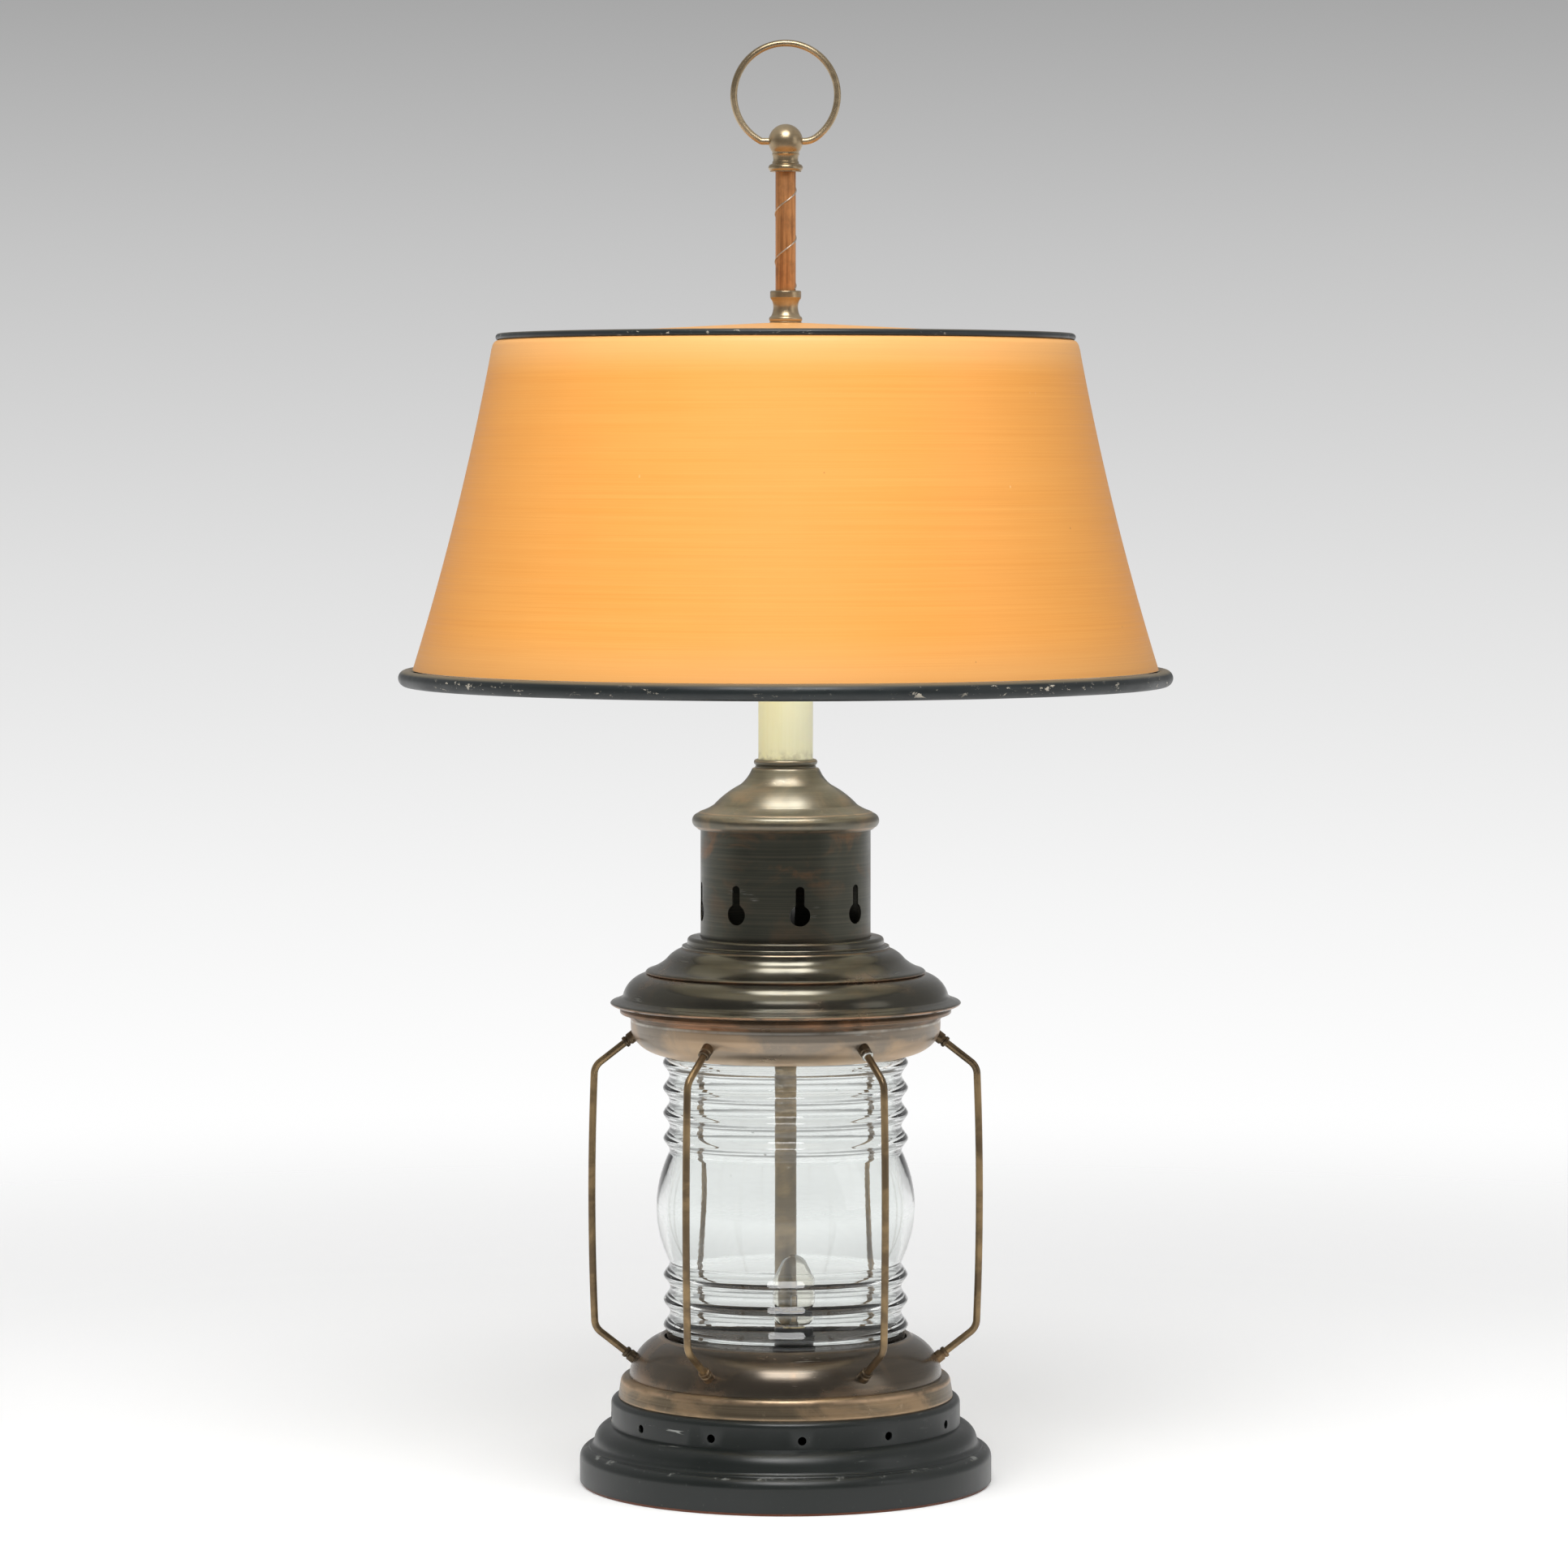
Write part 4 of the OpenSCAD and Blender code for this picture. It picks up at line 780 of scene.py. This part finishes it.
class LAMP_OT_globe(bpy.types.Operator):
    """Ribbed clear globe"""

    bl_idname = "lamp.globe"
    bl_label = "Globe"

    def execute(self, context):
        lantern = context.scene.lamp_lantern
        crest, valley, belly = (v * 1000 for v in (lantern.crest, lantern.valley, lantern.belly))
        pitch, middle, half = 14.0, 153.9, 31.0

        def ribs(start, end, first):
            """Crest radius less the depth times the sine's 1.5 power, crests a pitch apart."""
            z = np.linspace(start, end, int(abs(end - start) * 1.6))
            depth = np.abs(np.sin(np.pi * (z - first) / pitch)) ** 1.5
            return np.stack([crest - (crest - valley) * depth, z], 1)

        low_crest = middle - half - 2.5 * pitch
        high_crest = middle + half + 3.5 * pitch
        outside = np.vstack([
            [[66.4, 76.0], [66.4, 81.6]],
            ribs(low_crest - 3.5, middle - half - 0.5, low_crest),
            bowed((valley, middle - half), (valley, middle + half), valley - belly, 40),
            ribs(middle + half + 0.5, high_crest + 3.5, high_crest),
            [[65.4, high_crest + 6], [65.4, 245.8]]])
        z = np.linspace(245.8, 76.0, 180)
        skin = np.interp(z, outside[:, 1], outside[:, 0])
        follow = 0.72 * (skin - 64.4) * np.clip(np.minimum(z - 80, 242 - z) / 5, 0, 1)
        inside = np.stack([60.6 + follow + 0.15 * np.sin(z / 9.0), z], 1)

        def wobble(t, z):
            """Slow waves round the wall, as in glass blown into a mould."""
            return 0.12 * np.sin(2 * t + z / 30) + 0.07 * np.sin(5 * t - z / 17)

        profile = np.vstack([outside, inside])
        piece = turned("glass_globe", profile, 288, 60, wobble)
        place(piece, "lamp", clear_glass("globe_glass", lantern.tint, 0.8, 0.10), "globe_glass",
              "globe_glass")
        return {"FINISHED"}


class LAMP_OT_guards(bpy.types.Operator):
    """Six guard wires and their ferrules"""

    bl_idname = "lamp.guards"
    bl_label = "Guards"

    def execute(self, context):
        brass = old_metal(
            "guard_brass", (0.17, 0.12, 0.07), (0.36, 0.25, 0.13), (0.62, 0.48, 0.29),
            rough=0.38, warm_share=0.75, wear=0.4, brush=0.0)
        path = self.path()
        for i in range(GUARDS):
            a = math.radians(360 / GUARDS * i)
            spin = np.array([[math.cos(a), -math.sin(a), 0], [math.sin(a), math.cos(a), 0],
                             [0, 0, 1]])
            wire = drawn(f"guard_{i + 1}", path @ spin.T, 2.0)
            place(wire, "lamp", brass, "guard_brass", f"guard_wire_{i + 1}")
        turned_brass = old_metal(
            "ferrule_brass", (0.10, 0.075, 0.048), (0.30, 0.20, 0.11), (0.55, 0.44, 0.30),
            rough=0.4, warm_share=0.6, wear=0.6, green=0.4, brush=0.0,
            chip=(0.0455, -0.0788, 0.2433))
        place(smoothed("guard_ferrules_lower", "ferrules_low"), "lamp", turned_brass,
              "ferrule_brass", "guard_ferrules_lower")
        place(smoothed("guard_ferrules_upper", "ferrules_high"), "lamp", turned_brass,
              "ferrule_brass", "guard_ferrules_upper")
        return {"FINISHED"}

    def path(self):
        """Middle line of a guard wire in the XZ plane: a straight arm, a round bend, an upright
        that is an arc of a wide circle, a bend and an arm, worked out from the same sizes as
        the solid."""
        half, bow, arm, bend, mid_r, mid_z = 68.7, 1.4, 38.0, 9.0, 107.6, 158.7
        lean = 2 * math.degrees(math.atan(bow / half))
        wide = half / math.sin(math.radians(lean))
        ca, sa = math.cos(math.radians(arm)), math.sin(math.radians(arm))
        cl, sl = math.cos(math.radians(lean)), math.sin(math.radians(lean))
        out, up = bend * (cl - sa), bend * (ca - sl)
        length = (mid_r - 86.2 - out - bow) / ca
        start = np.array([86.2, mid_z - half - up - length * sa])
        s = np.linspace(0, 1, 5)[:, None]
        runs = [start + s * length * np.array([ca, sa])]
        corner = runs[0][-1] + bend * np.array([-sa, ca])
        runs.append(curve(*corner, bend, bend, arm - 90, -lean, 14)[1:])
        centre = np.array([mid_r - wide, mid_z])
        runs.append(curve(*centre, wide, wide, -lean, lean, 24)[1:-1])
        low = np.vstack(runs)
        mirror = low[::-1] * [1, -1] + [0, 2 * mid_z]
        line = np.vstack([low[: 5 + 14], runs[2], mirror[-(5 + 14):]])
        return np.stack([line[:, 0], 0 * line[:, 0], line[:, 1]], 1)


class LAMP_OT_hood(bpy.types.Operator):
    """Brim ring, hood, cowl, chimney with its foot ring and cap"""

    bl_idname = "lamp.hood"
    bl_label = "Hood and chimney"

    def execute(self, context):
        ring = outline(
            bowed((86.2, 258.9), (91.3, 261.6), 0.5, 8), (91.8, 262.0, 0.3), (91.8, 263.4, 0.4),
            (91, 265, 0.2), (82, 265), (82, 258.9))
        copper = old_metal(
            "brim_copper", (0.15, 0.105, 0.07), (0.36, 0.19, 0.105), (0.60, 0.42, 0.28),
            rough=0.32, warm_share=0.7, wear=0.4, brush=0.4)
        place(turned("ring_under_brim", ring), "lamp", copper, "brim_copper", "brim_ring")
        dome = outline(
            (82, 265, 0.1), (92.6, 265, 0.5), (95.6, 265.9, 0.3), (97.0, 266.7, 0.3),
            (97.2, 267.4, 0.25), (96.5, 268.1, 0.3), (93.4, 269.2, 1.0), (91.0, 270.4, 0.6),
            curve(74, 268, 16.6, 15.8, 13, 90, 30), (66, 283.8, 0.1), (66, 282.6, 0.1),
            curve(74, 268, 15.4, 14.6, 90, 6, 18), (89.4, 266.2, 0.3), (82, 266.2, 0.1))
        gloss = old_metal(
            "hood_bronze", (0.088, 0.084, 0.068), (0.160, 0.118, 0.080), (0.38, 0.29, 0.20),
            rough=0.22, warm_share=0.35, wear=0.12, scuffs=0.5, brush=0.2,
            lines=((0.2667, 0.0011, 0.75), (0.2841, 0.0010, 0.65), (0.2977, 0.0005, 0.3)),
            line_colour=(0.48, 0.27, 0.15))
        place(turned("hood_top", dome), "lamp", gloss, "hood_bronze", "hood_dome")
        cowl = outline(
            (77.2, 283.8, 0.15), (77.7, 284.5, 0.25), (76.8, 285.5, 0.2),
            bowed((76.2, 285.8), (66, 291.6), 0.7, 10),
            bowed((66, 291.6), (58.2, 297.2), -0.7, 10)[1:], (57.6, 298, 0.2), (41, 298, 0.1),
            (41, 296.8, 0.1), (57, 296.8, 0.5), (64.6, 290.8, 1), (74.4, 285, 0.5), (66, 285, 0.1),
            (66, 283.8, 0.1))
        place(turned("cowl", cowl), "lamp", gloss, "hood_bronze", "hood_cowl")
        foot = outline(
            (47.25, 298, 0.1), (57.4, 298, 0.15), (57.4, 299.1, 0.3), (55.2, 299.6, 0.4),
            (54.6, 300.1, 0.2), (54.5, 301.4, 0.2), curve(52.3, 301.7, 2.2, 2.4, 2, 90, 10),
            (47.25, 304.6, 0.3))
        place(turned("chimney_foot", foot), "lamp", gloss, "hood_bronze", "chimney_foot_ring")
        dark = old_metal(
            "chimney_bronze", (0.066, 0.067, 0.053), (0.20, 0.112, 0.060), (0.34, 0.29, 0.21),
            rough=0.36, warm_share=0.5, wear=0.15, scuffs=0.9, brush=0.35,
            warm_high=(0.325, 0.345),
            green=0.3)
        place(smoothed("chimney", "chimney_tube"), "lamp", dark, "chimney_bronze", "chimney")
        dusty = old_metal(
            "cap_bronze", (0.145, 0.135, 0.105), (0.26, 0.20, 0.135), (0.42, 0.38, 0.30),
            rough=0.34, warm_share=0.5, wear=0.45, scuffs=0.9, brush=0.35, green=0.5,
            lines=((0.3648, 0.0011, 0.7), (0.3731, 0.0006, 0.5), (0.4012, 0.0009, 0.3),
                   (0.3974, 0.0006, 0.4)),
            line_colour=(0.52, 0.36, 0.24))
        cap = outline(
            (47.25, 363.6, 0.2), (48.3, 363.5, 0.2), curve(47.6, 368.3, 4.2, 4.2, -60, 74, 22),
            (47.9, 373.0, 0.4), bowed((46.9, 373.5), (39.4, 377.3), 0.35, 8),
            bowed((39.2, 377.6), (25.6, 387.9), -0.7, 14),
            bowed((25.2, 388.1), (18.8, 396.6), 0.7, 12), (18.1, 397.4, 0.3), (5.2, 397.4, 0.1),
            (5.2, 396.2, 0.1), (17, 396.2, 0.5), (23.6, 387, 1.0), (38, 376, 1.0), (44, 372, 0.1),
            (47.25, 372, 0.1))
        place(turned("cap", cap), "lamp", dusty, "chimney_bronze", "chimney_cap")
        collar = outline(
            (5.2, 397.4, 0.1), (16.9, 397.4, 0.25), (16.9, 398.3, 0.3), (16.3, 398.8, 0.3),
            curve(15.9, 400.6, 1.7, 1.7, -62, 90, 14), (15.25, 402.3, 0.15), (15.25, 399, 0.1),
            (5.2, 399, 0.1))
        place(turned("sleeve_collar", collar), "lamp", dusty, "chimney_bronze", "cap_collar")
        sleeve = outline((15.1, 399, 0.1), (15.1, 484, 0.4), (13.8, 484, 0.4), (13.8, 399, 0.1))
        place(turned("sleeve", sleeve), "lamp", cream_sleeve(), "sleeve_cream", "candle_sleeve")
        return {"FINISHED"}


class LAMP_OT_inner(bpy.types.Operator):
    """Stem, night light, and the lampholders, bulbs and switch under the shade"""

    bl_idname = "lamp.inner"
    bl_label = "Stem and lamps"

    def execute(self, context):
        steel = plain("zinc_steel", (0.34, 0.34, 0.33), (0.52, 0.52, 0.50), metal=0.9, rough=0.38,
                      scale=140.0)
        sheath = old_metal(
            "sheath_brass", (0.26, 0.21, 0.15), (0.52, 0.38, 0.22), (0.70, 0.64, 0.54),
            rough=0.42, warm_share=0.75, wear=0.5, brush=0.2, metal=0.6)
        for node, name, material, slot in (
            ("stem_pipe", "lamp_pipe", steel, "steel"),
            ("stem_nuts", "nuts", steel, "steel"),
            ("stem_sheath", "sheath", sheath, "sheath_brass"),
            ("night_light_bracket", "light_bracket", steel, "steel"),
        ):
            place(smoothed(node, name), "lamp", material, slot, node)
        black = plain("phenolic_black", (0.010, 0.010, 0.010), (0.022, 0.022, 0.021), rough=0.35,
                      scale=180.0)
        place(smoothed("night_light_socket", "light_socket"), "lamp", black, "black_plastic",
              "night_light_socket")
        bright = plain("cap_brass", (0.60, 0.44, 0.20), (0.80, 0.66, 0.38), metal=1.0, rough=0.3,
                       scale=90.0)
        place(smoothed("night_light_cap", "light_cap"), "lamp", bright, "cap_brass",
              "night_light_cap")
        bulb = np.vstack([
            [[5.1, 88.0], [5.1, 91.4]], curve(7.0, 91.6, 1.9, 1.2, 180, 90, 4),
            bowed((8.4, 93.6), (11.5, 107), -0.9, 12), bowed((11.5, 108), (7.4, 126.6), -1.6, 16),
            curve(0, 123.4, 8, 8.4, 24, 90, 12)])
        shell = np.vstack([bulb, left_inset(bulb, 0.8)[::-1]])
        glass = turned("light_bulb", shell, 96, 50, at=(4.5, -18.0, 0.0))
        place(glass, "lamp", clear_glass("bulb_glass", (0.97, 0.955, 0.91), 0.0, 0.03),
              "bulb_clear", "night_light_bulb")
        wire = plain("filament_wire", (0.30, 0.28, 0.25), (0.55, 0.52, 0.48), metal=0.6, rough=0.4)
        place(smoothed("night_light_filament", "light_filament"), "lamp", wire, "filament",
              "night_light_filament")
        brass = old_metal(
            "cluster_brass", (0.42, 0.32, 0.17), (0.62, 0.48, 0.26), (0.80, 0.68, 0.44),
            rough=0.3, warm_share=0.8, wear=0.3, brush=0.3)
        for node, name in (
            ("cluster_body", "cluster_cup"), ("cluster_cover", "cluster_lid"),
            ("lampholder_left", "holder_left"), ("lampholder_right", "holder_right"),
            ("riser_rod", "riser"), ("shade_seat", "seat_disc"),
        ):
            place(smoothed(node, name), "lamp", brass, "cluster_brass", node)
        card = plain("liner_card", (0.36, 0.27, 0.16), (0.50, 0.40, 0.26), rough=0.9, scale=300.0,
                     bump=0.0002)
        silver = plain("cap_aluminium", (0.60, 0.60, 0.60), (0.76, 0.76, 0.76), metal=1.0,
                       rough=0.35, scale=90.0)
        white = Finish("frosted_white")
        tone = white.noise(white.point, 50.0)
        white_glass = white.surface(
            colour=white.mix(tone, (0.82, 0.80, 0.75), (0.90, 0.89, 0.85)), rough=0.25, shine=0.5,
            under=0.3, under_reach=(1.0, 0.9, 0.8), under_scale=0.004)
        for side in ("left", "right"):
            place(smoothed("liner_" + side, "holder_liner_" + side), "lamp", card, "liner_card",
                  "liner_" + side)
            place(smoothed("bulb_cap_" + side, "screw_cap_" + side), "lamp", silver,
                  "cap_aluminium", "bulb_cap_" + side)
            place(smoothed("main_bulb_" + side, "bulb_" + side), "lamp", white_glass,
                  "bulb_white", "main_bulb_" + side)
        place(smoothed("switch_case", "switch_body"), "lamp", black, "black_plastic",
              "switch_case")
        place(smoothed("switch_shaft", "knob_shaft"), "knob", steel, "steel", "switch_shaft")
        place(smoothed("switch_knob", "knob_grip"), "knob", black, "black_plastic", "switch_knob")
        return {"FINISHED"}


class LAMP_OT_shade(bpy.types.Operator):
    """Shade, its lid and its two beads"""

    bl_idname = "lamp.shade"
    bl_label = "Shade"

    def execute(self, context):
        shade = context.scene.lamp_shade
        top, bottom, wall = shade.top * 1000, shade.bottom * 1000, shade.wall * 1000
        t = np.linspace(1, 0, 49)
        r = top + (bottom - top) * ((1 - shade.late) * t + shade.late * t * t)
        side = np.stack([r, 628 - 176 * t], 1)
        shoulder = bowed((top - 0.5, 629.8), (top - 4.2, 633.4), -0.8, 10)
        outside = np.vstack([side, shoulder, [[top - 6, 634.0]]])
        profile = np.vstack([outside, [[top - 12, 634.0], [top - 12, 634 - wall]],
                             left_inset(outside[:-1], wall)[::-1]])
        paint = enamel(shade)
        shell = turned("shade_cone", profile, 384, 50)
        place(shell, "shade", paint, "shade_orange", "shade_shell")
        rim = top - 6.4
        lid = outline(
            (5.3, 641.7, 0.1), (14, 641.7, 4), (rim - 6, 634, 2), (rim, 634, 0.1),
            (rim, 634.9, 0.3), (rim - 6, 635.1, 2), (14, 642.6, 6), (5.3, 642.6, 0.15), n=6)
        place(turned("shade_cover", lid, 384), "shade", paint, "shade_orange", "shade_lid")
        dark = dark_bead()
        upper = np.vstack([
            curve(top - 4.4, 634.8, 2.1, 2.0, -40, 158, 24),
            [[top - 6.3, 634.05], [top - 6, 634.05], [top - 4.1, 633.5]]])
        place(turned("bead_top", upper, 384), "shade", dark, "bead_dark", "shade_top_bead")
        ring_r, ring_z = bottom + 3.5, 447.5
        lower = np.vstack([curve(ring_r, ring_z, 4.5, 4.5, -190, 140, 48),
                           curve(ring_r, ring_z, 3.4, 3.4, 140, -190, 24)])
        place(turned("bead_bottom", lower, 384), "shade", dark, "bead_dark",
              "shade_bottom_bead")
        return {"FINISHED"}


class LAMP_OT_finial(bpy.types.Operator):
    """Spool, spiral tube with its inlay, ball and ring"""

    bl_idname = "lamp.finial"
    bl_label = "Finial"

    def execute(self, context):
        finial = context.scene.lamp_finial
        brass = old_metal(
            "finial_brass", (0.32, 0.245, 0.15), (0.52, 0.41, 0.26), (0.76, 0.66, 0.50),
            rough=0.32, warm_share=0.8, wear=0.12, brush=0.1)
        spool = outline(
            (4.85, 642.8, 0.1), (8.9, 642.8, 0.25), (8.9, 643.4, 0.2),
            curve(7.7, 644.9, 1.5, 1.6, -78, 70, 12), bowed((7.9, 646.8), (7.6, 655.2), 0.9, 14),
            (8.4, 656.2, 0.4), (8.6, 656.8, 0.3), (8.6, 659.8, 0.3), (8.2, 660.4, 0.3),
            (5.75, 660.4, 0.2), (5.75, 656.4, 0.1), (2, 656.4, 0.1), (2, 653, 0.1),
            (4.85, 653, 0.1))
        place(turned("spool", spool, 96), "lamp", brass, "finial_brass", "finial_spool")
        tube = outline((5.6, 656.6, 0.2), (5.6, 728.6, 0.2), (4.6, 728.6, 0.2), (4.6, 656.6, 0.2))
        place(turned("copper_tube", tube, 96), "lamp", spiral_copper(finial), "spiral_copper",
              "spiral_tube")
        pale = plain("inlay_pale", (0.32, 0.27, 0.21), (0.58, 0.52, 0.44), metal=0.7, rough=0.4,
                     scale=200.0)
        place(self.inlay(), "lamp", pale, "inlay_silver", "spiral_inlay")
        place(smoothed("finial_ball", "ball"), "lamp", brass, "finial_brass", "finial_ball")
        wire = drawn("ring", self.ring_path(finial.ring * 1000), finial.wire * 500)
        place(wire, "ring", brass, "finial_brass", "finial_ring")
        return {"FINISHED"}

    def inlay(self):
        """Half-round strip on a helix: height rises with the angle, 26.2 mm a turn."""
        turns = (725.6 - 1 - 661.2) / 26.2
        s = np.linspace(0, math.floor(turns * 24) / 24, 480)
        a = np.radians(-28 + 360 * s)
        out = np.stack([np.cos(a), np.sin(a), 0 * a], 1)
        along = np.stack([-np.sin(a) * 5.6 * 2 * np.pi, np.cos(a) * 5.6 * 2 * np.pi,
                          0 * a + 26.2], 1)
        along /= np.linalg.norm(along, axis=1)[:, None]
        up = np.cross(along, out)
        middle = out * 5.62 + np.stack([0 * a, 0 * a, 661.2 + 26.2 * s], 1)
        k = np.radians(np.linspace(-90, 90, 9))
        ring = out[:, None, :] * np.cos(k)[None, :, None] * 0.45 + \
            up[:, None, :] * np.sin(k)[None, :, None] * 0.45
        points = (middle[:, None, :] + ring).reshape(-1, 3)
        return put_mesh("inlay", points, grid_faces(len(s), 9, False, True))

    def ring_path(self, ring):
        """Middle line of the ring: a level stub in the ball, a soft bend, the ring's own arc, a
        sharp bend and a level stub, in the XZ plane at the ball's height."""
        rise, soft, sharp, stub, level = 25.2, 12.0, 2.6, 3.5, 742.4

        def leave(bend):
            angle = math.acos((rise - bend) / (ring - bend))
            return math.degrees(angle), (ring - bend) * math.sin(angle)

        soft_turn, soft_x = leave(soft)
        sharp_turn, sharp_x = leave(sharp)
        first = np.stack([np.linspace(stub, soft_x, 6), np.zeros(6)], 1)
        last = np.stack([np.linspace(-sharp_x, -stub, 8), np.zeros(8)], 1)
        line = np.vstack([
            first, curve(soft_x, soft, soft, soft, -90, soft_turn - 90, 12)[1:],
            curve(0, rise, ring, ring, soft_turn - 90, 270 - sharp_turn, 120)[1:],
            curve(-sharp_x, sharp, sharp, sharp, 270 - sharp_turn, 270, 8)[1:], last[1:]])
        return np.stack([line[:, 0], 0 * line[:, 0], line[:, 1] + level], 1)


class LAMP_PT_panel(bpy.types.Panel):
    """Sidebar list of the lamp's operators and settings"""

    bl_idname = "LAMP_PT_panel"
    bl_label = "Lantern table lamp"
    bl_space_type = "VIEW_3D"
    bl_region_type = "UI"
    bl_category = "Lantern"

    def draw(self, context):
        scene = context.scene
        for title, group in (("Shade", scene.lamp_shade), ("Lantern", scene.lamp_lantern),
                             ("Foot", scene.lamp_foot), ("Finial", scene.lamp_finial)):
            box = self.layout.box()
            box.label(text=title)
            for name in group.__annotations__:
                box.prop(group, name)
        for step in STEPS:
            self.layout.operator(step.bl_idname)


SETTINGS = {"lamp_shade": ShadeSettings, "lamp_lantern": LanternSettings,
            "lamp_foot": FootSettings, "lamp_finial": FinialSettings}
STEPS = (LAMP_OT_stage, LAMP_OT_foot, LAMP_OT_galleries, LAMP_OT_globe, LAMP_OT_guards,
         LAMP_OT_hood, LAMP_OT_inner, LAMP_OT_shade, LAMP_OT_finial)


def register():
    for group in SETTINGS.values():
        bpy.utils.register_class(group)
    for name, group in SETTINGS.items():
        setattr(bpy.types.Scene, name, PointerProperty(type=group))
    for step in (*STEPS, LAMP_PT_panel):
        bpy.utils.register_class(step)


def unregister():
    for step in reversed((*STEPS, LAMP_PT_panel)):
        bpy.utils.unregister_class(step)
    for name, group in reversed(SETTINGS.items()):
        delattr(bpy.types.Scene, name)
        bpy.utils.unregister_class(group)


def main():
    register()
    for step in STEPS:
        getattr(bpy.ops.lamp, step.bl_idname.split(".")[1])()


if __name__ == "__main__":
    main()
